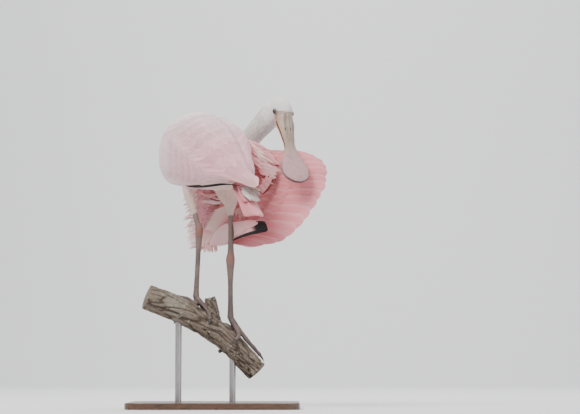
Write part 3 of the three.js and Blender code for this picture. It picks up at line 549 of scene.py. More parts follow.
def feather_material(name, barbs, edge, streak, shaft=0.0, grain=0.35):
    """Vanes with fine slanting barbs, an optional pale shaft, and thinner, paler edges."""
    n = Nodes(name)
    tint = n.attribute("tint")
    split = n.add("ShaderNodeSeparateXYZ", {0: n.uv("vane")})
    across = n.math("ABSOLUTE", n.math("SUBTRACT", split.outputs[0], 0.5))
    slant = n.math("SUBTRACT", n.times(split.outputs[1], barbs), n.times(across, barbs * 0.35))
    whole_turn = 6.283
    stripe = n.math("SINE", n.times(slant, whole_turn))
    clump = n.noise(n.add("ShaderNodeCombineXYZ", {0: n.times(across, 1.5), 1: slant}).outputs[0], 0.35, 3)
    shade = n.plus(n.times(stripe, 0.03), n.times(clump, streak))
    dark = n.blend(shade, tint, (0.6, 0.52, 0.52), "MULTIPLY")
    # Dark feathers keep dark edges and shafts
    light = n.add("ShaderNodeSeparateColor", {0: tint}).outputs[0]
    rim = n.times(n.ramp(across, 0.3, 0.5, 0.0, edge), light)
    colour = n.blend(rim, dark, n.blend(0.6, tint, (1, 0.95, 0.94)))
    if shaft:
        line = n.times(n.ramp(across, 0.008, 0.03, shaft, 0.0), light)
        colour = n.blend(line, colour, n.blend(0.7, tint, (1, 0.86, 0.82)))
    n.layers(colour)
    n.bump(n.plus(n.times(stripe, 0.35), clump), grain, 0.0005)
    return n.finished(Roughness=0.78, Sheen_Weight=0.06, Sheen_Roughness=0.5, Specular_IOR_Level=0.15,
                      Subsurface_Weight=0.25, Subsurface_Radius=(1.0, 0.6, 0.55), Subsurface_Scale=0.003)


def mottled(name, noise, ramp, shade, bump=None, pores=None, **values):
    """Skin, horn or eye: the tint, darker in the spots of a noise."""
    n = Nodes(name)
    grain = n.noise(n.place(), *noise)
    tint = n.attribute("tint")
    n.layers(tint, (grain, ramp, n.blend(1.0, tint, shade, "MULTIPLY")))
    if bump:
        height = n.plus(grain, n.times(n.noise(n.place(), *pores), 0.4)) if pores else grain
        n.bump(height, *bump)
    return n.finished(**values)


def bill_material():
    n = Nodes("bill_horn")
    place = n.place()
    mottle = n.noise(place, 75, 6, 0.7)
    spots = n.noise(place, 170, 3, 0.5)
    fine = n.noise(place, 420, 5, 0.7)
    tint = n.attribute("tint")
    # The painted shade of the mouth and the nostrils stays free of spots
    open_horn = n.ramp(n.add("ShaderNodeSeparateColor", {0: tint}).outputs[0], 0.03, 0.2)
    n.layers(tint, (mottle, (0.45, 0.7, 0, 0.45), rgb(112, 94, 84)),
             (spots, (0.6, 0.68, 0, 0.35), rgb(168, 124, 86)),
             (fine, (0.5, 0.75, 0, 0.3), rgb(208, 190, 178)), mask=open_horn)
    n.link(n.ramp(fine, 0.3, 0.7, 0.42, 0.62), n.shader.inputs["Roughness"])
    n.bump(n.plus(fine, mottle), 0.3, 0.0005)
    return n.finished(Specular_IOR_Level=0.4)


def leg_material():
    n = Nodes("leg_scales")
    place = n.place()
    scales = n.add("ShaderNodeTexVoronoi", {"Vector": place, "Scale": 620.0}, feature="DISTANCE_TO_EDGE")
    cells = scales.outputs[0]
    n.layers(n.attribute("tint"), (n.noise(place, 45, 5), (0.42, 0.66, 0, 0.7), rgb(122, 102, 95)),
             (cells, (0.0, 0.12, 0.22, 0.0), rgb(70, 60, 58)))
    n.bump(n.ramp(cells, 0, 0.15), 0.3, 0.0003)
    return n.finished(Roughness=0.62, Specular_IOR_Level=0.35)


def bark_material():
    n = Nodes("bark")
    place = n.place()
    fine = n.noise(place, 260, 8, 0.7)
    lichen = n.noise(place, 75, 6, 0.75)
    crust = n.blend(n.ramp(n.noise(place, 26, 5, 0.6), 0.4, 0.6), rgb(150, 150, 130), rgb(168, 160, 148))
    n.layers(n.attribute("tint"), (fine, (0.3, 0.7, 0.0, 0.6), rgb(62, 52, 45)),
             (lichen, (0.56, 0.66, 0, 0.75), crust))
    n.bump(n.plus(fine, n.times(lichen, 0.6)), 0.7, 0.0012)
    return n.finished(Roughness=0.92, Specular_IOR_Level=0.2)


def base_material():
    n = Nodes("base_wood")
    place = n.place()
    bent = n.add("ShaderNodeVectorMath", {0: place, 1: n.noise(place, 6, 3)}, operation="ADD").outputs[0]
    grain = n.noise(bent, 14, 8, 0.6, (1.2, 16, 16))
    pore = n.noise(place, 90, 5, 0.7, (1, 22, 22))
    n.layers(rgb(58, 38, 26), (grain, (0.35, 0.65), rgb(96, 66, 44)),
             (pore, (0.55, 0.7, 0, 0.6), rgb(36, 24, 17)))
    n.link(n.ramp(pore, 0.4, 0.7, 0.32, 0.5), n.shader.inputs["Roughness"])
    n.bump(pore, 0.15, 0.0003)
    return n.finished(Coat_Weight=0.25, Coat_Roughness=0.3)


def steel_material():
    n = Nodes("rod_steel")
    brush = n.noise(n.place(), 60, 4, 0.6, (30, 30, 1))
    n.layers(rgb(150, 148, 146), (brush, (0.3, 0.7), rgb(186, 184, 182)))
    n.link(n.ramp(brush, 0.3, 0.7, 0.28, 0.42), n.shader.inputs["Roughness"])
    n.bump(brush, 0.08, 0.0001)
    return n.finished(Metallic=1.0)


def dressed_point(ahead, degrees, grow, last=-245):
    """A point on the body with its folded wing, whose form goes on to `last`."""
    ahead, degrees, grow = np.broadcast_arrays(*(np.asarray(v, float) for v in (ahead, degrees, grow)))
    wrap = np.where(degrees > 180, degrees - 360, degrees)
    winged = within(wrap, (-18, 2, 138, 156)) * within(ahead, (last - 15, last + 10, 200, 224))
    swell = within(-wrap, SHOULDER_TURN) * within(ahead, SHOULDER_REACH)
    near = np.clip(ahead, last, 121)
    cloaked = body_point(CLOAK, near, degrees, grow) + (ahead - near)[..., None] * BODY[0]
    return between(body_point(TORSO, ahead, degrees, grow), cloaked, np.maximum(winged, swell))


def body_rings(grow):
    ahead = np.concatenate([[-167.5], np.linspace(-164, 142, 62), [145]])
    a, d = np.meshgrid(ahead, np.arange(72) * 5.0, indexing="ij")
    return between(dressed_point(a, d, grow, -145), body_point(TORSO, a, d, grow), ease(a, 100, 124))


def skull_rings(grow):
    ahead = np.concatenate([[-35, -34, -32.5], np.linspace(-30, 29, 26), [30]])
    half_width, half_height = table_at(SKULL, ahead)
    turn = circle(40)
    return placed(SKULL_CENTRE, HEAD, ahead[:, None], np.cos(turn) * (half_width[:, None] + grow),
                  np.sin(turn) * (half_height[:, None] + grow))


def make_skin():
    """One closed skin over the body, neck, head and thighs, which lies in them by the depth of the coat."""
    forms = [body_rings(-BODY_COAT), tube_rings(NECK, 60, 40, -NECK_COAT), skull_rings(-HEAD_COAT)]
    forms += [tube_rings(thigh, 24, 24, -THIGH_COAT, (0, 1, 0)) for thigh in (THIGH_LEFT, THIGH_RIGHT)]
    parts = [new_object(f"form_{k}", ring_mesh(f"form_{k}", rings)) for k, rings in enumerate(forms)]
    skin = parts[0]
    with bpy.context.temp_override(active_object=skin, object=skin, selected_objects=parts,
                                   selected_editable_objects=parts):
        bpy.ops.object.join()
    remesh = skin.modifiers.new("remesh", "REMESH")
    remesh.mode = "VOXEL"
    remesh.voxel_size = SKIN_CUBE * MM
    settle = skin.modifiers.new("settle", "SMOOTH")
    settle.factor = 0.5
    settle.iterations = 8
    mesh = bpy.data.meshes.new_from_object(skin.evaluated_get(bpy.context.evaluated_depsgraph_get()))
    skin.modifiers.clear()
    skin.data = mesh
    skin.name = "skin"
    bpy.context.view_layer.objects.active = skin
    skin.select_set(True)
    bpy.ops.object.mode_set(mode="EDIT")
    bpy.ops.mesh.select_all(action="SELECT")
    bpy.ops.uv.smart_project(angle_limit=1.1, island_margin=0.004)
    bpy.ops.object.mode_set(mode="OBJECT")
    mesh.uv_layers[0].name = "OFBake"
    paint(mesh, coat_tint(read(mesh.vertices, "co", 3).astype(float) / MM))
    mesh.polygons.foreach_set("use_smooth", np.ones(len(mesh.polygons), bool))
    mesh.materials.clear()
    mesh.materials.append(SKIN)
    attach(skin, "root")
    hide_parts("torso", "neck_lower", "neck_middle", "neck_upper", "head", "thigh_left", "thigh_right")
    return skin


class Surface:
    """The skin as arrays, to scatter roots on it and to follow it."""

    def __init__(self, obj):
        mesh = obj.data
        mesh.calc_loop_triangles()
        corners = read(mesh.loop_triangles, "vertices", 3, np.int32)
        points = read(mesh.vertices, "co", 3).astype(float) / MM
        self.corners = points[corners]
        loops = read(mesh.loop_triangles, "loops", 3, np.int32)
        self.uv = read(mesh.uv_layers["OFBake"].data, "uv", 2)[loops]
        first, second, third = (self.corners[:, k] for k in range(3))
        self.normal = np.cross(second - first, third - first)
        self.area = np.linalg.norm(self.normal, axis=1) / 2
        self.normal = unit(self.normal)
        self.tree = BVHTree.FromPolygons(points.tolist(), corners.tolist())

    def scatter(self, rng, crowd, weight):
        """About `crowd` places for each unit of weight times area."""
        share = self.area * weight
        pick = rng.choice(len(share), int(crowd * share.sum()), p=share / share.sum())
        a, b = rng.random((2, len(pick), 1))
        flip = a + b > 1
        a, b = np.where(flip, 1 - a, a), np.where(flip, 1 - b, b)
        c0, c1, c2 = (self.corners[pick, k] for k in range(3))
        u0, u1, u2 = (self.uv[pick, k] for k in range(3))
        return c0 + (c1 - c0) * a + (c2 - c0) * b, self.normal[pick], u0 + (u1 - u0) * a + (u2 - u0) * b

    def nearest(self, points):
        found = [self.tree.find_nearest(Vector(p)) for p in points]
        return np.array([f[0] for f in found]), np.array([f[1] for f in found])


def spread_out(points, spacing):
    """The first of any points that lie closer together than their spacing."""
    cell = float(spacing.max())
    grid = {}
    keep = []
    around = [(x, y, z) for x in (-1, 0, 1) for y in (-1, 0, 1) for z in (-1, 0, 1)]
    keys = np.floor(points / cell).astype(int).tolist()
    for i, ((x, y, z), p, reach) in enumerate(zip(keys, points.tolist(), (spacing**2).tolist())):
        near = any((p[0] - q[0]) ** 2 + (p[1] - q[1]) ** 2 + (p[2] - q[2]) ** 2 < reach
                   for dx, dy, dz in around for q in grid.get((x + dx, y + dy, z + dz), ()))
        if not near:
            grid.setdefault((x, y, z), []).append(p)
            keep.append(i)
    return np.array(keep)


def guides():
    """Places with the lie of the coat there."""
    spots, lies = [], []
    line = curve_at(middle_line(NECK), np.linspace(0, 1, 26))
    along = unit(np.gradient(line, axis=0))
    for p, d in zip(line[5:], along[5:]):
        spots.append(p)
        lies.append(-d)
    for ahead in np.arange(-160, 141, 20.0):
        for degrees in range(0, 360, 30):
            wrap = degrees if degrees <= 180 else degrees - 360
            down = (0.4 if ahead > -60 else 0.16) * abs(math.sin(math.radians(wrap)))
            step = body_point(TORSO, ahead, degrees + 8) - body_point(TORSO, ahead, degrees)
            spots.append(body_point(TORSO, ahead, degrees))
            lies.append(unit(-BODY[0] + down * unit(step) * np.sign(wrap or 1)))
    for thigh in (THIGH_LEFT, THIGH_RIGHT):
        for p in curve_at(middle_line(thigh), np.linspace(0.35, 1, 6)):
            spots.append(p)
            lies.append(np.array([0, 0, -1.0]))
    for ahead in (-30, -18, -5, 8, 20):
        for out in (-16, 0, 16):
            for up in (-14, 0, 16):
                spots.append(placed(SKULL_CENTRE, HEAD, ahead, out, up))
                lies.append(unit(-HEAD[0] + 0.015 * out * HEAD[1]))
    return np.array(spots), np.array(lies)


GUIDE_SPOTS, GUIDE_LIES = guides()


def lie_at(points, normals):
    """The lie of the coat at points on the skin."""
    result = np.empty_like(points)
    for start in range(0, len(points), LIE_BATCH):
        part = points[start:start + LIE_BATCH]
        far = ((part[:, None] - GUIDE_SPOTS[None]) ** 2).sum(-1)
        weight = np.exp(-(far - far.min(1, keepdims=True)) / (2 * GUIDE_REACH**2))
        result[start:start + LIE_BATCH] = weight @ GUIDE_LIES
    result -= normals * (result * normals).sum(1, keepdims=True)
    return unit(result)


def region(points):
    """How far points belong to head, neck and thighs, from 0 to 1 each, and how far up the neck they lie."""
    shares = np.linspace(0.28, 1, 40)
    neck = curve_at(middle_line(NECK), shares)
    far = np.sqrt(((points[:, None] - neck[None]) ** 2).sum(-1))
    skull = np.sqrt(((points - np.array(SKULL_CENTRE)) ** 2).sum(-1))
    ahead, right, up = body_place(points)
    in_body = ((ahead / 165) ** 2 + (right / 75) ** 2 + ((up + 5) / 78) ** 2) ** 0.5
    head = 1 - ease(skull, 26, 42)
    necked = (1 - ease(far.min(1), 28, 46)) * ease(in_body, 0.98, 1.12)
    thigh = (1 - ease(points[:, 2], 402, 428)) * (1 - ease(points[:, 0], 70, 90))
    return head, np.maximum(necked, head), thigh, shares[far.argmin(1)]


def face_place(points):
    """How far points lie ahead and up on the head, and over the line at which the bare face ends."""
    rel = points - np.array(SKULL_CENTRE)
    fore, up = rel @ HEAD[0], rel @ HEAD[2]
    return fore, up, up - (EYE_PLACE[2] + 0.5 + FACE_SLOPE * (fore - EYE_PLACE[0]))


def bare_face(points):
    """How far points belong to the bare skin of the face, from 0 to 1."""
    fore, up, over = face_place(points)
    near = 1 - ease(np.linalg.norm(points - np.array(SKULL_CENTRE), axis=-1), 44, 52)
    return near * ease(fore + 0.1 * up, FACE_START - 1, FACE_START + 1) * (1 - ease(over, -0.4, 0.8))


def eye_centre(side):
    return placed(SKULL_CENTRE, HEAD, EYE_PLACE[0], side * EYE_PLACE[1], EYE_PLACE[2])


def from_eye(points):
    return np.min([np.linalg.norm(points - eye_centre(side), axis=-1) for side in (-1, 1)], axis=0)


def wobble(points, scale, seed):
    """Smooth noise from sums of waves, about -1 to 1."""
    rng = np.random.default_rng(seed)
    total = np.zeros(points.shape[:-1])
    for _ in range(10):
        wave = rng.normal(0, 1 / scale, 3)
        total += np.sin(points @ wave * 2.2 + rng.uniform(0, 6.28))
    return total / 4.5


def coat_tint(points, rng=None):
    """The coat's and the skin's colour at places on the body."""
    head, necked, thigh, share = region(points)
    ahead, _, up = body_place(points)
    colour = np.tile(BLUSH, (len(points), 1))
    colour = between(colour, WHITE, np.clip(0.4 * ease(up, 20, 70) + 0.6 * ease(ahead, 40, 110), 0, 0.8))
    rosy = 0.8 * (1 - ease(ahead, -60, 40)) * (1 - ease(up, 45, 85))
    colour = between(colour, mix(BLUSH, ROSE, 0.55), rosy)
    # Painted shade: the beige under the belly and on the thighs stands for the shade on their whitish
    # feathers
    colour = between(colour, BEIGE, 0.75 * (1 - ease(points[:, 2], 404, 420)) * ease(ahead, -170, -140))
    colour = between(colour, mix(BEIGE, ROSE, 0.25), 0.7 * thigh)
    grime = ease(wobble(points * (1, 1, 0.5), 4, 4), 0.2, 1)[:, None] * 0.35
    colour = between(colour, mix(between(IVORY, SMOKE, ease(share, 0.4, 0.55)), ASH, grime), necked)
    colour = between(colour, mix(WHITE, ASH, 0.4 * grime), head)
    if rng is None:
        _, high, over = face_place(points)
        skin = between(FACE, mix(ROSE, ASH, 0.6), ease(-high, 6, 14))
        skin = between(skin, mix(PURPLE, BEIGE, 0.3), 0.5 * (1 - ease(from_eye(points), 6, 13)))
        # A thin reddish line where the feathers of the forehead end
        skin = between(skin, mix(CORAL, PURPLE, 0.6), 0.6 * np.exp(-((over + 0.9) / 0.8) ** 2))
        blotch = wobble(points, 2.4, 3)[:, None]
        colour = between(colour, skin * (1 + 0.12 * blotch), bare_face(points))
        colour = between(colour, PURPLE, 1 - ease(from_eye(points), 6, 8))
        return colour
    streak = np.where(necked > 0.4, 0.1 * (1 - 0.5 * head), 0.035)
    return np.clip(colour * (1 + rng.normal(0, 1, len(points)) * streak)[:, None], 0, 1)


def streamed(surface, rng, roots, normals, length, rows, sway):
    """Row centres, normals and directions of vanes that follow the skin from their roots."""
    spot, normal = roots.copy(), normals.copy()
    turn = rng.normal(0, sway, (len(roots), 1))
    centres, normals_out, aheads = [], [], []
    for _ in range(rows):
        lie = lie_at(spot, normal)
        lie = unit(lie + np.cross(normal, lie) * turn)
        centres.append(spot)
        normals_out.append(normal)
        aheads.append(lie)
        spot, normal = surface.nearest(spot + lie * (length / (rows - 1))[:, None])
    return (np.stack(v, 1) for v in (centres, normals_out, aheads))


def vane_object(name, points, tints, material, patches=None, nodes=(), normals=None):
    """One piece of many vanes, each with its own square of the OFBake map: at its patch, or a cell of a grid.
    """
    count, rows, columns = points.shape[:3]
    index = np.arange(count * rows * columns).reshape(count, rows, columns)
    corners = (index[:, :-1, :-1], index[:, 1:, :-1], index[:, 1:, 1:], index[:, :-1, 1:])
    faces = np.stack(corners, -1).reshape(-1, 4)
    u, v = np.meshgrid(np.linspace(0, 1, columns), np.linspace(0, 1, rows))
    vane = np.broadcast_to(np.stack([u, v], -1), (count, rows, columns, 2))
    if patches is None:
        side = math.ceil(math.sqrt(count))
        cell = 1 / side
        corner = np.stack([np.arange(count) % side, np.arange(count) // side], -1) * cell
        bake = corner[:, None, None] + (vane * 0.9 + 0.05) * cell
    else:
        bake = patches[:, None, None] + (vane - 0.5) * 0.003
    layers = {"vane": vane.reshape(-1, 2), "OFBake": bake.reshape(-1, 2)}
    flat = None if normals is None else normals.reshape(-1, 3)
    mesh = fill_mesh(name, points.reshape(-1, 3), faces, layers, np.clip(tints, 0, 1).reshape(-1, 3), flat)
    return shown(name, mesh, material, nodes)


class Vanes:
    """Feathers that become one piece."""

    def __init__(self, rng):
        self.rng = rng
        self.grids, self.tints = [], []

    def add(self, grid, tints):
        self.grids.append(grid)
        self.tints.append(np.broadcast_to(tints, grid.shape))

    def lone(self, roots, tips, half, first, last, outline=PLUME):
        """Small feathers that face the near side."""
        self.add(lone_feathers(self.rng, roots, tips, SMALL_FACE, half, outline, 2.0), fade(first, last))

    def wisps(self, x, s, y, dx, ds, dy, count, spread, half, first, last, wander=0.14):
        """Slim feathers along a line in the view, with roots at x, s and y and a reach of dx, ds and dy."""
        rng = self.rng
        t = (np.arange(count) + rng.uniform(0, 1, count)) / count
        x, s, y, dx, ds, dy = (np.interp(t, np.linspace(0, 1, len(v)), v) for v in (x, s, y, dx, ds, dy))
        x, s = x + rng.normal(0, spread, count), s + rng.normal(0, spread, count)
        size = rng.uniform(0.75, 1.2, count)
        sway_x, sway_s = wander * rng.normal(0, 1, (2, count))
        roots = seen(x, s, y + rng.normal(0, 0.8, count))
        tips = seen(x + size * (dx + sway_x * ds), s + size * (ds + sway_s * dx), y + dy)
        self.lone(roots, tips, half * rng.uniform(0.7, 1.3, count), first, last)

    def show(self, name, material, nodes=()):
        vane_object(name, np.vstack(self.grids), np.vstack(self.tints), material, nodes=nodes)


# The coat's kinds of feather: rows of points along it, places across it, half width as a share of its length,
# how far it rises as a share of its size, raggedness, sway, and its length as a share of its size
COATS = {
    "body_feathers": (6, (-1, -0.5, 0, 0.5, 1), 0.26, 0.06, 0.06, 0.1, 2.7),
    "neck_down": (5, (-1, 0, 1), 0.12, 0.22, 0.2, 0.16, 2.9),
    "head_down": (4, (-1, 0, 1), 0.17, 0.2, 0.2, 0.2, 2.5),
}


def make_coat(surface):
    """Body feathers and the down of the neck and head."""
    rng = np.random.default_rng(SEED)
    centres = surface.corners.mean(1)

    def plan(points):
        """The size of the feathers at places, and which kind of coat they belong to."""
        head, necked, thigh, share = region(points)
        size = mix(7.6, 5.6, ease(body_place(points)[0], 10, 90))
        size = mix(size, 4.4, thigh)
        size = mix(size, mix(6.0, 3.6, ease(share, 0.42, 0.62)), necked)
        kind = np.where(head > 0.5, 2, np.where(necked > 0.5, 1, 0))
        return np.where(head > 0.5, mix(2.0, 3.2, ease(1 - head, 0, 0.5)), size), kind

    middle_size, middle_kind = plan(centres)
    ahead, right, up = body_place(centres)
    turn = np.degrees(np.arctan2(-right, up + 5))
    under_wing = (turn > 8) & (turn < 122) & (ahead > -150) & (ahead < 34) & (middle_kind == 0)
    open_skin = ~((bare_face(centres) > 0.5) | (from_eye(centres) < EYE_BARE) | under_wing)
    for k, (name, (rows, columns, half, top, ragged, sway, long)) in enumerate(COATS.items()):
        weight = open_skin * (middle_kind == k) / (COAT_SPACING * middle_size) ** 2
        points, normals, patches = surface.scatter(rng, COAT_CROWD, weight)
        size, _ = plan(points)
        keep = spread_out(points, COAT_SPACING * size)
        keep = keep[(bare_face(points[keep]) < 0.5) & (from_eye(points[keep]) > EYE_BARE)]
        points, normals, patches, size = (v[keep] for v in (points, normals, patches, size))
        columns = np.array(columns)
        limit = int(PIECE_TRIANGLES / ((rows - 1) * (len(columns) - 1) * 2))
        t = np.linspace(0, 1, rows)
        profile = np.interp(t, [0, 0.3, 0.65, 0.88, 1], [0.5, 0.95, 1, 0.72, 0.12])
        rise = np.interp(t, [0, 0.6, 1], [-0.3, 1, 0.7])
        for start in range(0, len(points), limit):
            pick = slice(start, start + limit)
            count = len(points[pick])
            length = size[pick] * long * rng.uniform(0.8, 1.2, count)
            spot, normal, lie = streamed(surface, rng, points[pick], normals[pick], length, rows, sway)
            side = unit(np.cross(normal, lie))
            width = (length * half)[:, None] * profile[None]
            edge = np.clip(1 + ragged * rng.normal(0, 1, (count, rows, len(columns))), 0.5, 1.5)
            reach = columns[None, None] * width[..., None] * edge
            tall = (size[pick] * top * rng.uniform(0.6, 1.4, count))[:, None] * rise[None] + 0.2
            lift = tall[..., None] - 0.3 * np.abs(columns)[None, None] ** 2 * width[..., None]
            side, normal = side[:, :, None], normal[:, :, None]
            grid = spot[:, :, None] + side * reach[..., None] + normal * lift[..., None]
            shade = unit(normal + side * (0.3 * columns)[None, None, :, None])
            tints = coat_tint(points[pick], rng)[:, None, None] * mix(0.9, 1.03, t)[None, :, None, None]
            vane_object(f"{name}_{start // limit + 1}", grid, np.broadcast_to(tints, grid.shape),
                        SOFT_FEATHER if k == 0 else DOWN,
                        patches[pick], normals=shade if k else None)


def sheet_feathers(rng, place, middles, half, outline, root, ends, deep, step, *, close=None, rows=20,
                   columns=FINE, ridge=0.3, tuck=0.0):
    """Feathers side by side in a sheet, each over the next. `deep` is the depth at their roots and tips,
    `tuck` how far their ends bend in, and `close` a place across and how far tips close in on it. Returns
    points and their shares across and along."""
    count = len(middles)
    t = 1 - (1 - np.linspace(0, 1, rows)[None, :, None]) ** 1.6
    middles = (middles + rng.normal(0, 0.05, count) * half)[:, None, None]
    ragged = 1 + 0.012 * rng.normal(0, 1, (count, rows, 1)) * (t > 0.5)
    local = columns[None, None] * half * outlined(outline, t) * ragged
    line = middles if close is None else mix(middles, close[0], close[1] * t)
    across = line + local
    along = mix(root, np.reshape(ends, (-1, 1, 1)), t) * np.ones_like(across)
    bump = np.exp(-(columns / 0.06) ** 2) * ridge
    rim = np.maximum(ease(t, 0.7, 1), 0.6 * ease(np.abs(columns), 0.55, 1)[None, None] * ease(t, 0.3, 0.6))
    depth = mix(deep[0], deep[1], t) + bump[None, None] + step * local / half - tuck * rim
    return place(across, along, depth * np.ones_like(across)), across, along


def lone_feathers(rng, roots, tips, face, half, outline, bend):
    """Feathers given by their roots and tips, which face one way and bow towards it, with a hollow back."""
    hollow = 0.15
    ahead = unit(tips - roots)
    side = unit(np.cross(ahead, unit(face)))
    lift = np.cross(side, ahead)
    t = np.linspace(0, 1, LONE_ROWS)
    half = np.broadcast_to(np.asarray(half, float), (len(roots),))
    line = mix(roots[:, None], tips[:, None], t[None, :, None])
    line = line + (4 * t * (1 - t))[None, :, None] * bend * lift[:, None]
    ragged = 1 + 0.08 * rng.normal(0, 1, (len(roots), LONE_ROWS, 1))
    across = COARSE[None, None] * half[:, None, None] * outlined(outline, t)[None, :, None] * ragged
    deep = -hollow * np.abs(across) * np.abs(COARSE)
    return line[:, :, None] + across[..., None] * side[:, None, None] + deep[..., None] * lift[:, None, None]


def fade(first, last):
    """The tint of lone feathers, from root to tip."""
    return mix(first, last, np.linspace(0, 1, LONE_ROWS)[:, None])[:, None]


def right_sheet(across, along, deep):
    """The sheet of the spread right wing: depth is towards the near side."""
    roots, tips = curve_at(RIGHT_ROOTS, across), curve_at(RIGHT_TIPS, across)
    return (between(roots, tips, along) + (4 * along * (1 - along))[..., None] * np.array(RIGHT_BOW)
            + deep[..., None] * unit(NEAR_SIDE))


def cloak_sheet(across, along, deep):
    """The folded left wing: across is degrees down from the top, along is the distance ahead."""
    return dressed_point(along, across, deep)


# The right wing's rows: number of feathers, stretch from the body to the wrist, share of the wing's depth at
# their roots and tips, depth towards the near side, the step across a feather, and outline
RIGHT_ROWS = [
    (18, 0.0, 1.0, 0.0, 1.0, 0.0, -1.4, FLIGHT),
    (18, 0.0, 0.98, 0.0, 0.62, 2.4, -0.6, COVERT),
    (19, 0.0, 0.97, -0.02, 0.47, 3.4, -0.45, COVERT),
    (20, 0.0, 0.96, -0.05, 0.34, 4.3, -0.4, COVERT),
    (22, 0.0, 0.96, -0.08, 0.22, 5.2, -0.4, COVERT),
    (26, 0.0, 0.98, -0.12, 0.12, 6.1, -0.4, COVERT),
    (20, 0.0, 0.98, 0.0, 0.55, -2.8, -1.2, COVERT),
    (22, 0.0, 0.98, -0.02, 0.38, -4.2, -1.0, COVERT),
    (26, 0.0, 0.98, -0.05, 0.22, -5.6, -0.9, COVERT),
]
shoulder, elbow, wrist = (np.array(v, float) for v in (RIGHT_SHOULDER, RIGHT_ELBOW, RIGHT_WRIST))
RIGHT_BONE = [shoulder, mix(shoulder, elbow, 0.5), elbow, mix(elbow, wrist, 0.5), wrist]


def make_right_wing():
    rng = np.random.default_rng(SEED + 1)
    wing = Vanes(rng)
    for count, start, end, root, reach, depth, step, outline in RIGHT_ROWS:
        half = 0.95 * (end - start) / (count - 1)
        ends = reach * (1 + rng.normal(0, 0.006, count))
        grid, across, along = sheet_feathers(
            rng, right_sheet, np.linspace(start, end, count), half, outline, root, ends, (depth, depth), step,
            ridge=0.2, tuck=0.6 if depth > 0 else 0)
        base = between(SALMON, ROSE, 0.15 + 0.75 * ease(along, 0.35, 1.0))
        if depth > 0:
            base = mix(base, mix(CORAL, SALMON, 0.6), 0.5 * (1 - ease(reach, 0.3, 0.62)))
        # Painted shade: deep red over the roots near the shoulder, where the body shades the wing
        root_shade = (1 - ease(across, 0.3, 0.62)) * (1 - ease(along, 0.1, 0.42))
        base = between(base, mix(CARMINE, CORAL, 0.65), 0.6 * root_shade)
        wing.add(grid, base * (1 + rng.normal(0, 0.03, (count, 1, 1, 1))))
    wing.show("right_wing_feathers", FLIGHT_FEATHER, ["wing_right_arm"])
    keys = [(*p, r) for p, r in zip(RIGHT_BONE, (17, 13, 9, 7, 6))]
    mesh = ring_mesh("right_arm", tube_rings(keys, 40, 20, 0, (0.3, 1, 0)),
                     np.tile(mix(CORAL, CARMINE, 0.5), (41 * 20, 1)))
    shown("right_arm", mesh, SKIN)


def fold_point(along, share, depth):
    """The fold of skin before the right arm: along runs from the shoulder to the wrist, share to the bone."""
    point = between(curve_at(RIGHT_FRONT_EDGE, along), curve_at(RIGHT_BONE, along), share)
    return point + (depth + 4 * np.sin(np.pi * share))[..., None] * unit(NEAR_SIDE)


def fold_tint(along, share):
    """Mauve pink at the front edge, pale rose by the wrist and dark red in the shade under the body."""
    colour = between(mix(ROSE, PURPLE, 0.16), mix(IVORY, ROSE, 0.4), ease(share, 0.25, 0.6))
    shade = within(along, (0.2, 0.42, 0.58, 0.72)) * ease(share, 0.12, 0.4)
    return between(colour, mix(CARMINE, CORAL, 0.3), 0.85 * shade)


def make_right_fold():
    along, share = np.meshgrid(np.linspace(0, 1, 90), np.linspace(0, 1, 40), indexing="ij")
    near, far = (fold_point(along, share, depth) for depth in (0.7, -0.7))
    tint = fold_tint(along, share)
    # A row of dark red spots near the bone: partly pin feathers, partly painted shade at the roots of
    # feathers
    spots = np.exp(-((share - 0.36) / 0.03) ** 2) * ease(np.sin(along * 2 * math.pi * 34), 0.2, 0.7)
    tint = between(tint, CARMINE, 0.8 * spots * ease(along, 0.6, 0.7))
    rings = np.concatenate([near, far[:, ::-1]], 1)
    mesh = ring_mesh("right_fold", rings, np.concatenate([tint, tint[:, ::-1]], 1).reshape(-1, 3))
    shown("right_fold", mesh, SKIN)


def pale(share):
    """A tint from rose at 0 to ivory at 1."""
    return mix(ROSE, IVORY, share)


def add_fringe(small):
    """The fringe of the wing's front edge, in three layers."""
    rng = small.rng
    for layer, (count, shift) in enumerate(((44, 1), (40, 7), (36, 14))):
        share = (np.arange(count) + rng.uniform(0.1, 0.9, count)) / count
        roots = curve_at(RIGHT_FRONT_EDGE, share) + rng.normal(0, 1, (count, 3)) * 0.8
        roots = roots[roots[:, 2] < 418] + (shift, -2 - 1.5 * layer, 2)
        reach = [rng.uniform(low, high, len(roots)) for low, high in ((-24, -14), (0, 4), (-16, -4))]
        small.lone(roots, roots + np.stack(reach, -1), 2.1, mix(ROSE, CORAL, 0.3), WHITE, POINTED)


def add_fold_feathers(small):
    """Small feathers of the fold, in rows along it from the bone to its front edge."""
    rng = small.rng
    count = 52
    for start in np.linspace(0.84, 0.06, 8):
        along = (np.arange(count) + rng.uniform(0.2, 0.8, count)) / count
        share = start + rng.normal(0, 0.012, count)
        roots = fold_point(along, share, 0.6)
        tips = fold_point(np.clip(along + rng.normal(0.025, 0.008, count), 0, 1), share + 0.19, 2.6)
        grid = lone_feathers(rng, roots, tips, SMALL_FACE, 3.4, PLUME, 0.4)
        tone = fold_tint(along, share) * (1 + rng.normal(0, 0.05, (count, 1)))
        small.add(grid, tone[:, None, None] * fade(0.8, 1.06))


def add_wrist_flap(small):
    """The flap of soft feathers at the wrist."""
    rng = small.rng
    for row, (count, top, length) in enumerate(((15, 318, 24), (14, 325, 24), (13, 332, 22), (12, 339, 20))):
        x = np.linspace(-22, 1, count) + rng.normal(0, 0.6, count)
        size = rng.uniform(0.85, 1.1, count)
        roots = seen(x, top + rng.normal(0, 1, count), 94 - 2.6 * row - 0.4 * x)
        tips = seen(x + rng.uniform(-1, 4, count), top - length * size, 90 - 2.6 * row - 0.4 * x)
        small.lone(roots, tips, 2.5, mix(CORAL, ROSE, 0.55), pale(0.6))


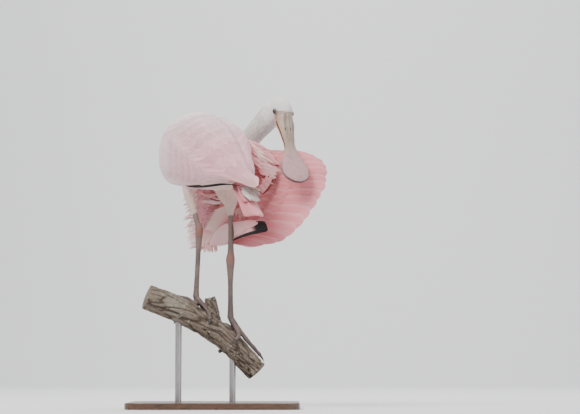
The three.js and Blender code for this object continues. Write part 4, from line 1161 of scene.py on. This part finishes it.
def add_red_flap(small):
    """A reddish flap in the armpit, with a pale front edge."""
    rng = small.rng
    # Its deep red, darkened with purple, is partly the flap's own red and partly painted shade
    small.wisps((88, 100), (404, 430), (34, 34), (20, 14), (24, 16), (2, 2), 40, 2.4, 3.6,
                mix(CARMINE, PURPLE, 0.2), mix(CORAL, PURPLE, 0.2))
    for row, count in enumerate((7, 6, 5)):
        x = np.linspace(83, 89, count) + 5 * row
        s = np.linspace(413, 404, count) + 8 * row
        turn = np.radians(np.linspace(60, 48, count)) + rng.normal(0, 0.08, count)
        size = np.linspace(14, 20, count) * rng.uniform(0.7, 1.15, count)
        roots = seen(x, s, 31 - 0.6 * row)
        tips = seen(x + size * np.cos(turn), s + size * np.sin(turn), 31 - 0.6 * row)
        small.lone(roots, tips, 1.7, mix(CORAL, ROSE, 0.6), pale(0.45))


def make_right_details():
    """The small feathers of the right wing: its front edge, wrist, fold, armpit and shoulder."""
    rng = np.random.default_rng(SEED + 5)
    small = Vanes(rng)
    add_fringe(small)
    add_fold_feathers(small)
    # White wisps in the shade under the body
    small.wisps((-34, 2), (392, 386), (103, 84), (24, 22), (-3, 4), (-11, -11), 12, 2.4, 1.6,
                mix(ROSE, CORAL, 0.3), WHITE)
    small.wisps((-36, -6), (404, 402), (102, 88), (22, 22), (-5, -2), (-11, -11), 10, 2.0, 1.8,
                CORAL, pale(0.5))
    # Curls of pink down behind the right thigh
    small.wisps((38, 60), (379, 372), (62, 51), (5, -6), (-14, -12), (-4, 0), 26, 3.0, 1.5,
                CORAL, pale(0.5), 0.6)
    add_wrist_flap(small)
    # Soft pink mass of the armpit, with pale streaks over it
    small.wisps((62, 80, 86), (500, 478, 450), (58, 46, 42), (34, 34, 24), (-22, -22, -10), (-6, -6, -6),
                64, 4, 3.4, mix(CORAL, ROSE, 0.55), pale(0.3))
    small.wisps((72, 86, 88), (476, 462, 444), (40, 37, 36), (26, 26, 24), (-17, -14, -8), (-4, -4, -4),
                44, 4, 2.6, mix(CORAL, ROSE, 0.8), pale(0.6))
    small.wisps((66, 84), (500, 476), (44, 36), (20, 16), (-15, -12), (-4, -4), 20, 2.2, 1.1,
                IVORY, pale(0.7))
    add_red_flap(small)
    # Feathers of the shoulder, along the wing's upper edge
    small.wisps((50, 68), (506, 482), (84, 60), (46, 46), (-18, -8), (-16, -6), 34, 2.4, 4.2, pale(0.55),
                mix(ROSE, SALMON, 0.3), 0.05)
    small.wisps((52, 68), (496, 472), (76, 54), (38, 36), (-24, -16), (-14, -6), 30, 2.6, 3.6, pale(0.5),
                pale(0.3), 0.07)
    small.show("right_wing_small_feathers", FLUFF)
    # Ridged pale coverts that run from the fold towards the tips
    grid, _, along = sheet_feathers(rng, right_sheet, np.linspace(0.62, 0.98, 17), 0.026, COVERT, -0.14, 0.13,
                                    (10, 11), -1.6)
    base = between(mix(IVORY, ROSE, 0.3), mix(SALMON, ROSE, 0.5), ease(along, 0.0, 0.13))
    # Dark red spots at the roots: partly pin feathers, partly painted shade
    spot = (1 - ease(along, -0.13, -0.11)) * (np.abs(FINE) < 0.5)
    tint = between(base, CARMINE, 0.9 * spot)
    vane_object("right_wing_pale_coverts", grid, tint, FLIGHT_FEATHER)


def make_hand():
    """The folded hand: pale rose feathers in a rounded bundle, the outer ones black towards their tips."""
    rng = np.random.default_rng(SEED + 2)
    wrist, end = np.array(RIGHT_WRIST, float), np.array(RIGHT_HAND_END, float)
    start = mix(wrist, end, 0.17)
    side = unit((-0.85, -0.5, 0.1))

    def sheet(across, along, deep):
        base = start + (end - start) * (0.2 + 0.8 * across[..., None])
        tips = curve_at(PRIMARY_TIPS, across)
        bend = np.stack([np.full_like(across, -5), np.zeros_like(across), mix(15, 5, across)], -1)
        bow = (4 * along * (1 - along))[..., None]
        return between(base, tips, along) + bend * bow + deep[..., None] * side

    hand = Vanes(rng)
    for row, (count, first, last, depth, half, reach) in enumerate((
        (11, 0, 1, 0, 0.15, 1.0), (8, 0.02, 0.7, 6.0, 0.13, 0.9), (9, 0.04, 0.8, 6.9, 0.12, 0.62),
        (9, 0.05, 0.85, 7.8, 0.12, 0.4),
    )):
        outline, step = (COVERT, 0.3) if row else (FLIGHT, 0)
        grid, _, along = sheet_feathers(rng, sheet, np.linspace(first, last, count), half, outline, 0,
                                        [reach], (depth, depth), step, ridge=0.15)
        tint = between(pale(0.35), mix(SALMON, ROSE, 0.6), 0.7 * ease(along, 0.3, 0.9))
        if row == 0:
            k = np.linspace(0, 1, count)[:, None, None]
            grid = grid + ((k - 0.5) * 10)[..., None] * side
            dark = ease(k, 0.62, 0.72) * ease(along, 0.7, 0.78)
            lower = ease(k, 0.86, 0.95) * ease(FINE, -0.1, 0.1)[None, None] * ease(along, 0.02, 0.12)
            tint = between(tint, SOOT, np.maximum(dark, lower))
        hand.add(grid, tint)
    hand.show("right_hand_feathers", FLIGHT_FEATHER, ["wing_right_hand"])


# The left wing's larger rows, low to high: number of feathers, angles from the top, root and tip ahead, the
# angle that tips close in on, how high their tips lie, and outline
LEFT_ROWS = [
    (6, 135, 145, 22, -242, 131, -0.9, POINTED),
    (15, 88, 136, -40, -168, 114, -0.9, FLIGHT),
    (19, 80, 136, -6, -124, 112, -0.5, COVERT),
    (10, -50, 104, -84, -243, 62, -0.6, FLIGHT),
    (11, -54, 106, -66, -220, 60, -0.2, FLIGHT),
    (13, -58, 106, -48, -194, 56, 0, FLIGHT),
    (14, -60, 106, -32, -168, 52, 0.2, FLIGHT),
    (16, -62, 104, -16, -144, 48, 0.3, FLIGHT),
    (19, -64, 102, 0, -120, 45, 0.4, COVERT),
]
# Small coverts, in rows a few millimetres apart: the wing's edge, and the shoulder over it
COVERT_ROWS = [
    (24 + k, 76 - 2.2 * k, 136, 6 + 9 * k, -104 + 11.2 * k, 111 - k, 0.1, COVERT) for k in range(10)
] + [
    (20 + 3 * k, -64, 101 - 3.2 * k, 12 + 9 * k, -104 + 14 * k, 43 - k, 0.4, COVERT) for k in range(9)
]
LEFT_SINK = -2.9
LEFT_CLOSE = 0.5


def make_left_wing():
    rng = np.random.default_rng(SEED + 3)
    for name, table, rows, columns in (("left_wing_feathers", LEFT_ROWS, 20, FINE),
                                       ("left_wing_coverts", COVERT_ROWS, 14, COARSE)):
        wing = Vanes(rng)
        large = table is LEFT_ROWS
        for row, (count, low, high, root, tip, close, top, outline) in enumerate(table):
            half = 1.02 * (high - low) / (count - 1)
            curve = np.abs(np.arange(count) - (count - 1) / 2) / count
            ends = tip + 26 * curve**1.5 + rng.normal(0, 3.0 if large else 2.0, count)
            grid, _, _ = sheet_feathers(
                rng, cloak_sheet, np.linspace(low, high, count), half, outline, root, ends, (LEFT_SINK, top),
                0.1, close=(close, LEFT_CLOSE), rows=rows, columns=columns, ridge=0.08, tuck=0.3)
            base = coat_tint(grid.reshape(-1, 3)).reshape(grid.shape)
            t = np.linspace(0, 1, rows)[None, :, None]
            rim = np.maximum(ease(np.abs(columns), 0.7, 1)[None, None], ease(t, 0.9, 1)) * ease(t, 0.3, 0.6)
            base = between(base, mix(ROSE, SALMON, 0.3), 0.5 * rim)
            base = base * mix(1.0, 0.86, (0.75 if row % 2 else 0.1) * ease(t, 0.35, 0.8))[..., None]
            if large and row > 2:
                base = between(base, ROSE, 0.3 * ease(-body_place(grid)[0], 40, 140))
            if large and row == 0:
                base = between(base, SOOT, ease(t, 0.02, 0.1))
            wing.add(grid, base * (1 + rng.normal(0, 0.04, (count, 1, 1, 1))))
        wing.show(name, WING_FEATHER, ["wing_left"] if large else ())


def make_tail():
    rng = np.random.default_rng(SEED + 4)
    root = placed(BODY_CENTRE, BODY, *TAIL_ROOT)
    tip = np.array(TAIL_TIP, float)
    side = BODY[1]
    face = unit(np.cross(tip - root, side))

    def sheet(across, along, deep):
        spread = across * mix(2.4, 3.7, along) / 3.7
        return between(root, tip, along) + spread[..., None] * side + deep[..., None] * face

    tail = Vanes(rng)
    for k in range(12):
        out = k - 5.5
        level = 2 * abs(out) - 1 + (out < 0)
        grid, _, along = sheet_feathers(rng, sheet, np.array([out * 2.6]), 7, FLIGHT, 0,
                                        [1 - 0.01 * abs(out)], (-0.8 * level, -0.8 * level), 0)
        tail.add(grid, between(SALMON, ROSE, 0.2 + 0.5 * along))
    for depth, reach in ((1.6, 0.66), (2.6, 0.48), (-10.5, 0.7), (-12, 0.5)):
        grid, _, _ = sheet_feathers(rng, sheet, np.linspace(-13, 13, 6), 5.4, COVERT, 0, [reach],
                                    (depth, depth), 0.3, tuck=0.6)
        tail.add(grid, mix(SALMON, ROSE, 0.5))
    tail.show("tail_feathers", FLIGHT_FEATHER, ["tail"])
    # White down between the wing's tip and the tail, some of it stained
    down = Vanes(rng)
    for k, (top, low) in enumerate(((419, 410), (415, 405), (411, 400), (406, 395))):
        count = 26
        x = np.linspace(56 + k, 80 - k, count) + rng.normal(0, 0.8, count)
        roots = seen(x - 7, top - 0.1 * (x - 48) + rng.normal(0, 1, count), -148 - 5 * k)
        ends = x + rng.uniform(3, 9, count)
        tips = seen(ends, low - 0.16 * (x - 48) + rng.normal(0, 1.6, count), -158 - 6 * k)
        stain = (within(x, (62, 66, 76, 82)) * (k < 3) * rng.uniform(0.2, 0.8, count))[:, None]
        down.add(lone_feathers(rng, roots, tips, (-0.3, -0.9, 0.4), 2.3, PLUME, 1.5),
                 mix(SMOKE, rgb(150, 116, 92), stain)[:, None, None])
    down.show("tail_down", FLUFF)


def bill_half(side):
    """Rings of one half of the bill, which start inside the face, with the distance along, the share across,
    the nostrils' depth and the shade inside the mouth."""
    stations = np.concatenate([np.linspace(-12, 134, 80), np.linspace(136, BILL_LENGTH, 34)])
    half_width, upper, lower = table_at(BILL, stations)
    height = upper if side > 0 else lower
    wide = 1 if side > 0 else mix(BILL_LOWER_WIDE, 1, np.maximum(stations, 0) / BILL_LENGTH)
    inside = np.minimum(stations, 0)
    height = height + 0.1 * inside + (BILL_SLOPE * (1 - ease(stations, 3, 30)) if side > 0 else 0)
    turn = np.linspace(0, math.pi, 41)
    flat = np.array([-0.97, -0.94, -0.91, -0.87, -0.5, 0, 0.5, 0.87, 0.91, 0.94, 0.97])
    open_by = math.radians(BILL_OPEN if side < 0 else 0)
    share = np.concatenate([np.cos(turn), flat])[None] * np.ones_like(stations)[:, None]
    across = share * (half_width * wide)[:, None]
    share = np.abs(share)
    bulge = np.concatenate([np.sin(turn) ** 0.85, 0 * flat])
    lift = bulge[None] * height[:, None]
    groove = np.exp(-((share - 0.82) / 0.05) ** 2) * 0.5 * (1 - ease(stations, 130, 168))[:, None]
    ridge = NOSTRIL[1] * mix(1.0, 0.75, stations[:, None] / 90)
    out = np.abs(across)
    groove += np.exp(-((out - ridge) / 0.9) ** 2) * 0.45 * within(stations, (44, 50, 88, 110))[:, None]
    slot = np.exp(-((stations[:, None] - NOSTRIL[0]) / 4.4) ** 4 - ((out - NOSTRIL[1]) / 0.95) ** 2)
    slot = slot * (side > 0) * (bulge > 0)
    lift = np.maximum(lift - groove - 2.2 * slot, 0)
    mouth = ((bulge <= 0) & (share < 0.935)) * within(stations, (10, 15, 78, 98))[:, None]
    fore = stations[:, None] * np.ones_like(across)
    rise = side * (lift + 0.15)
    return placed(BILL_BASE, BEAK, fore * math.cos(open_by) + rise * math.sin(open_by), across,
                  rise * math.cos(open_by) - fore * math.sin(open_by)), stations, share, slot, mouth


def make_bill():
    rng = np.random.default_rng(SEED + 6)
    for side, name in ((1, "bill_upper"), (-1, "bill_lower")):
        rings, stations, share, slot, mouth = bill_half(side)
        along = stations[:, None, None]
        colour = mix(FACE, rgb(142, 126, 112), ease(along, 10, 70))
        colour = mix(colour, rgb(166, 130, 132), ease(along, 70, 120))
        if side < 0:
            colour = mix(rgb(190, 142, 128), colour, ease(along, 90, 140))
        rim = mix(rgb(202, 152, 126), rgb(104, 72, 78), ease(along, 110, 140))
        tint = colour * np.ones((*share.shape, 1))
        # Darker streaks that run down from the face and die out above the spoon
        angles = np.linspace(0, math.pi, 41)
        angles = np.concatenate([angles, np.full(share.shape[1] - 41, -9.0)])[None]
        for _ in range(9):
            middle, wave, start = rng.uniform(0.5, 2.6), rng.uniform(6, 14), rng.uniform(0, 6)
            line = middle + 0.05 * np.sin(stations[:, None] / wave + start)
            streak = np.exp(-((angles - line) / rng.uniform(0.03, 0.08)) ** 2)
            streak = streak * within(stations, (-1, 2, rng.uniform(15, 60), rng.uniform(70, 118)))[:, None]
            tint = between(tint, rgb(92, 78, 66), 0.5 * streak)
        tint = between(tint, rim, 0.85 * ease(share, 0.93, 0.995))
        # Painted shade: the inside of the mouth and the nostrils' slots are painted dark
        tint = between(tint, rgb(46, 26, 26), mouth)
        tint = between(tint, rgb(44, 28, 26), ease(slot, 0.25, 0.7))
        mesh = ring_mesh(name, rings, tint.reshape(-1, 3))
        shown(f"{name}_horn", mesh, BILL_HORN, [name])


def make_eyes():
    turn = circle(EYE_SIDES)
    for side, name in ((-1, "eye_left"), (1, "eye_right")):
        centre = eye_centre(side)
        lean = math.radians(EYE_LEAN)
        axis, right, up = directions(math.sin(lean) * HEAD[0] + side * math.cos(lean) * HEAD[1])
        around = np.cos(turn)[:, None] * right + np.sin(turn)[:, None] * up

        def rings(polar, radius):
            return (centre + (np.cos(polar) * radius)[..., None] * axis
                    + (np.sin(polar) * radius)[..., None] * around)

        polar = np.linspace(0.02, math.pi - 0.02, 40)[:, None]
        tint = mix(rgb(34, 12, 9), rgb(14, 7, 6), ease(polar, 0.45, 0.75))
        tint = mix(rgb(5, 4, 5), tint, ease(polar, 0.36, 0.42))
        ball = rings(polar, EYE_RADIUS - 0.3 + 0.45 * np.exp(-((polar / 0.55) ** 2)))
        shown(f"{name}_ball", ring_mesh(name, ball, np.repeat(tint, EYE_SIDES, axis=0)), EYE, [name])
        # The lids: a rolled rim on the ball, a crease, then the bare skin round them
        opening = np.radians(LID_OPENING - 6 * np.abs(np.sin(turn)) ** 1.5)
        s = np.linspace(0, 1, 22)[:, None]
        height = np.interp(s, [0, 0.03, 0.1, 0.2, 0.34, 0.5, 1], [-0.3, 0.15, 0.35, 0.3, 0.12, 0.2, 0.2])
        folds = 0.1 * np.sin(turn * 17 + 4 * s) * within(s, (0.2, 0.4, 0.8, 1))
        rim = rings(mix(opening[None], math.radians(92), s), EYE_RADIUS + height + folds)
        tint = mix(rgb(46, 34, 38), rgb(92, 76, 78), ease(s, 0.08, 0.22))
        tint = mix(tint, rgb(158, 142, 138), ease(s, 0.22, 0.5))
        lid = ring_mesh(f"lid_{name}", np.concatenate([rim, rim[::-1] - LID_THICKNESS * axis]),
                        np.repeat(np.vstack([tint, tint[::-1]]), EYE_SIDES, axis=0))
        # A ring mesh closes its ends to their middle, and a lid is open there
        shown(f"lid_{name}", reworked(lid, drop_ends), BARE_SKIN)


def drop_ends(work):
    work.verts.ensure_lookup_table()
    bmesh.ops.delete(work, geom=work.verts[-2:], context="VERTS")


perch_line = middle_line(PERCH)


def on_perch(x, turn, lift):
    """A point over the perch: turn 0 is on top, 90 on the near side."""
    t = np.linspace(0, 1, 801)
    line = curve_at(perch_line, t)
    share = np.interp(x, line[:, 0], t)
    centre = curve_at(perch_line, share)
    ahead = heading(perch_line, share)
    far = unit(np.cross((0, 0, 1), ahead))
    top = unit(np.cross(ahead, far))
    angle = math.radians(turn)
    return centre + (top * math.cos(angle) - far * math.sin(angle)) * (PERCH_RADIUS + lift)


def make_legs():
    grey = rgb(92, 80, 78)
    for side, keys in (("left", SHANK_LEFT), ("right", SHANK_RIGHT)):
        rings = tube_rings(keys, 90, 24, 0, (0, 1, 0))
        middle = rings.mean(1, keepdims=True)
        height = middle[:, 0, 2]
        rings = middle + (rings - middle) * (1 + 0.02 * np.sin(height / 4.2 * 2 * math.pi))[:, None, None]
        warm = np.exp(-((height - ANKLE_HEIGHT[side]) / 14) ** 2)[:, None]
        colour = mix(mix(grey, rgb(120, 104, 96), ease(height, ANKLE_HEIGHT[side], 372)[:, None]),
                     rgb(128, 88, 78), warm)
        mesh = ring_mesh("leg", rings, np.repeat(colour, 24, axis=0))
        shown(f"leg_{side}", mesh, LEG, [f"shank_{side}"])
    for side, toes, keys in (("left", TOES_LEFT, SHANK_LEFT), ("right", TOES_RIGHT, SHANK_RIGHT)):
        start = np.array(keys[-1][:3], float)
        for k, stops in enumerate(toes):
            line = [(*start, TOE_RADIUS * 1.15)]
            for i, (x, turn) in enumerate(stops[:-1]):
                radius = TOE_RADIUS * (1 - 0.35 * (i + 1) / len(stops))
                line.append((*on_perch(x, turn, radius * 0.8), radius))
            steps = len(stops) * 14
            rings = tube_rings(line, steps, 18, 0, (0.1, 0.2, 1))
            middle = rings.mean(1, keepdims=True)
            share = np.linspace(0, 1, steps + 1)
            beads = 1 + 0.07 * np.cos(share * (len(stops) - 1) * 2 * math.pi)
            scutes = 1 + 0.025 * np.sin(share * len(stops) * 7 * math.pi)
            rings = middle + (rings - middle) * (beads * scutes)[:, None, None]
            mesh = ring_mesh("toe", rings, np.tile(grey, ((steps + 1) * 18, 1)))
            shown(f"toe_{side}_{k + 1}", mesh, LEG, [f"foot_{side}"] if k == 0 else ())
            last = line[-1]
            tip = on_perch(stops[-1][0], stops[-1][1], 0.8)
            joint = np.array(last[:3])
            middle = (joint + tip) / 2 + unit(joint - curve_at(perch_line, 0.5)) * 1.5
            claw = [(*joint, last[3] * 0.72), (*middle, last[3] * 0.5), (*tip, 0.35)]
            rings = tube_rings(claw, 14, 12, 0, (0.1, 0.2, 1))
            mesh = ring_mesh("claw", rings, np.tile(rgb(74, 66, 64), (15 * 12, 1)))
            shown(f"claw_{side}_{k + 1}", mesh, CLAW)


def make_perch():
    steps, sides = 260, 120
    rings = tube_rings(PERCH, steps, sides, -0.6)
    turn = circle(sides)
    t = np.linspace(0, 1, steps + 1)
    v = np.broadcast_to(t[:, None] * BARK_LENGTH, (steps + 1, sides))
    wrap = np.stack([np.cos(turn) * BARK_RADIUS + 0 * v, np.sin(turn) * BARK_RADIUS + 0 * v, v * 0.22], -1)
    furrow = np.abs(wobble(wrap + 3 * wobble(wrap, 22, 5)[..., None], 7, 6))
    furrow = 1 - np.exp(-(furrow / 0.28) ** 2)
    lump = wobble(wrap * [1, 1, 2], 30, 7)
    fine = wobble(wrap * [1, 1, 2], 2.6, 8)
    height = -2.2 * (1 - furrow) + 1.1 * lump + 0.35 * fine
    ends = within(t, (0, 0.012, 0.988, 1))
    middle = rings.mean(1, keepdims=True)
    rings = rings + unit(rings - middle) * (height * (0.3 + 0.7 * ends[:, None]))[..., None]
    bark = between(rgb(72, 61, 52), rgb(130, 117, 104), furrow)
    bark = between(bark, rgb(156, 151, 138), ease(lump, 0.2, 0.9) * furrow * 0.6)
    shown("perch_bark", ring_mesh("perch", rings, bark.reshape(-1, 3)), BARK, ["perch"])
    root, end = np.array(STUB_ROOT, float), np.array(STUB_END, float)
    keys = [(*mix(root, end, s), STUB_RADIUS * (1.15 - 0.2 * s)) for s in (0, 0.5, 1)]
    rings = tube_rings(keys, 50, 48, -0.4, (1, 0, 0))
    middle = rings.mean(1, keepdims=True)
    out = unit(rings - middle)
    local = out * 12 + middle * 0.4
    furrow = 1 - np.exp(-(np.abs(wobble(local, 5, 9)) / 0.3) ** 2)
    rings = rings + out * (-1.3 * (1 - furrow) + 0.8 * wobble(local, 14, 10))[..., None]
    torn = wobble(local, 6, 11) * 2.2 * ease(np.linspace(0, 1, 51), 0.86, 1)[:, None]
    rings = rings + torn[..., None] * unit(end - root)
    bark = between(rgb(68, 58, 50), rgb(122, 109, 97), furrow)
    shown("stub_bark", ring_mesh("stub", rings, bark.reshape(-1, 3)), BARK)


def make_stand():
    for node, material in (("stand_base", base_material()), ("stand_rod_1", STEEL), ("stand_rod_2", STEEL)):
        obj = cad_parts[node]
        obj.data.materials.clear()
        obj.data.materials.append(material)


def make_stage():
    n = Nodes("pale_floor")
    n.finished(Roughness=0.9, Base_Color=(0.8, 0.8, 0.8, 1))
    span, rise, bend, start = 6000, 4200, 1800, 4300
    turn = np.linspace(0, math.pi / 2, 24)
    line = [(-span, 0.0)] + [(start + bend * math.sin(a), bend * (1 - math.cos(a))) for a in turn]
    line += [(start + bend, rise)]
    points = [(x, y, z) for y, z in line for x in (-span, span)]
    faces = [(2 * i, 2 * i + 1, 2 * i + 3, 2 * i + 2) for i in range(len(line) - 1)]
    new_object("floor", fill_mesh("floor", points, faces), n.material)


def make_lights():
    world = bpy.data.worlds.new("studio")
    world.use_nodes = True
    world.node_tree.nodes["Background"].inputs[0].default_value = (0.93, 0.96, 1, 1)
    world.node_tree.nodes["Background"].inputs[1].default_value = 0.6
    bpy.context.scene.world = world
    bird, wall = (0.02, 0, 0.4), (0.4, 6, 0.9)
    for name, place, target, size, power, colour in (
        ("key", (-0.9, -1.5, 2.2), bird, 1.3, 88, (1, 0.98, 0.95)),
        ("fill", (1.8, -1.2, 0.9), bird, 1.8, 14, (0.95, 0.97, 1)),
        ("top", (0.3, 0.9, 2.3), bird, 1.4, 44, (1, 1, 1)),
        ("wall", (0.4, 2.2, 3.6), wall, 2.0, 190, (1, 1, 1)),
    ):
        light = bpy.data.lights.new(name, "AREA")
        light.size = size
        light.energy = power
        light.color = colour
        obj = bpy.data.objects.new(name, light)
        obj.location = place
        aim = Vector(target) - Vector(place)
        obj.rotation_euler = aim.to_track_quat("-Z", "Y").to_euler()
        bpy.context.scene.collection.objects.link(obj)


def make_camera():
    data = bpy.data.cameras.new("camera")
    obj = bpy.data.objects.new("camera", data)
    bpy.context.scene.collection.objects.link(obj)
    tilt = math.radians(VIEW_TILT)
    away = Vector((0, math.cos(tilt), math.sin(tilt))) * VIEW_DISTANCE
    obj.location = (Vector(VIEW_TARGET) - away) * MM
    obj.rotation_euler = (math.radians(90) + tilt, 0, 0)
    data.sensor_width = SENSOR
    data.lens = SENSOR * VIEW_DISTANCE / VIEW_WIDTH
    data.clip_end = 100
    bpy.context.scene.camera = obj


make_camera()
SOFT_FEATHER = feather_material("soft_feather", 10, 0.15, 0.16, grain=0.2)
WING_FEATHER = feather_material("wing_feather", 34, 0.0, 0.14, shaft=0.25, grain=0.2)
DOWN = feather_material("down", 5, 0.1, 0.3)
FLUFF = feather_material("fluff", 12, 0.3, 0.3, shaft=0.3)
FLIGHT_FEATHER = feather_material("flight_feather", 42, 0.35, 0.3, shaft=0.8)
SKIN = mottled("under_feathers", (420, 4, 0.65), (0.3, 0.7, 0.0, 0.5), (0.72, 0.64, 0.6), (0.5, 0.0006),
               (1400, 2, 0.5), Roughness=0.7)
# The ramp, shade and bump that bare skin and claws share
HORN = (0.35, 0.7, 0.0, 0.55), (0.6, 0.55, 0.55), (0.35, 0.0004)
BARE_SKIN = mottled("bare_skin", (700, 3, 0.6, (1, 1, 1)), *HORN, Roughness=0.5)
CLAW = mottled("claw", (500, 3, 0.6, (1, 1, 6)), *HORN, Roughness=0.35)
EYE = mottled("eye", (900, 3, 0.6), (0.4, 0.7, 0, 0.5), (0.4, 0.35, 0.35), Roughness=0.06, Coat_Weight=1.0,
              Coat_Roughness=0.03)
BILL_HORN = bill_material()
LEG = leg_material()
BARK = bark_material()
STEEL = steel_material()

make_coat(Surface(make_skin()))
make_left_wing()
make_right_wing()
make_right_fold()
make_right_details()
make_hand()
make_tail()
make_bill()
make_eyes()
make_legs()
make_perch()
make_stand()
make_stage()
make_lights()
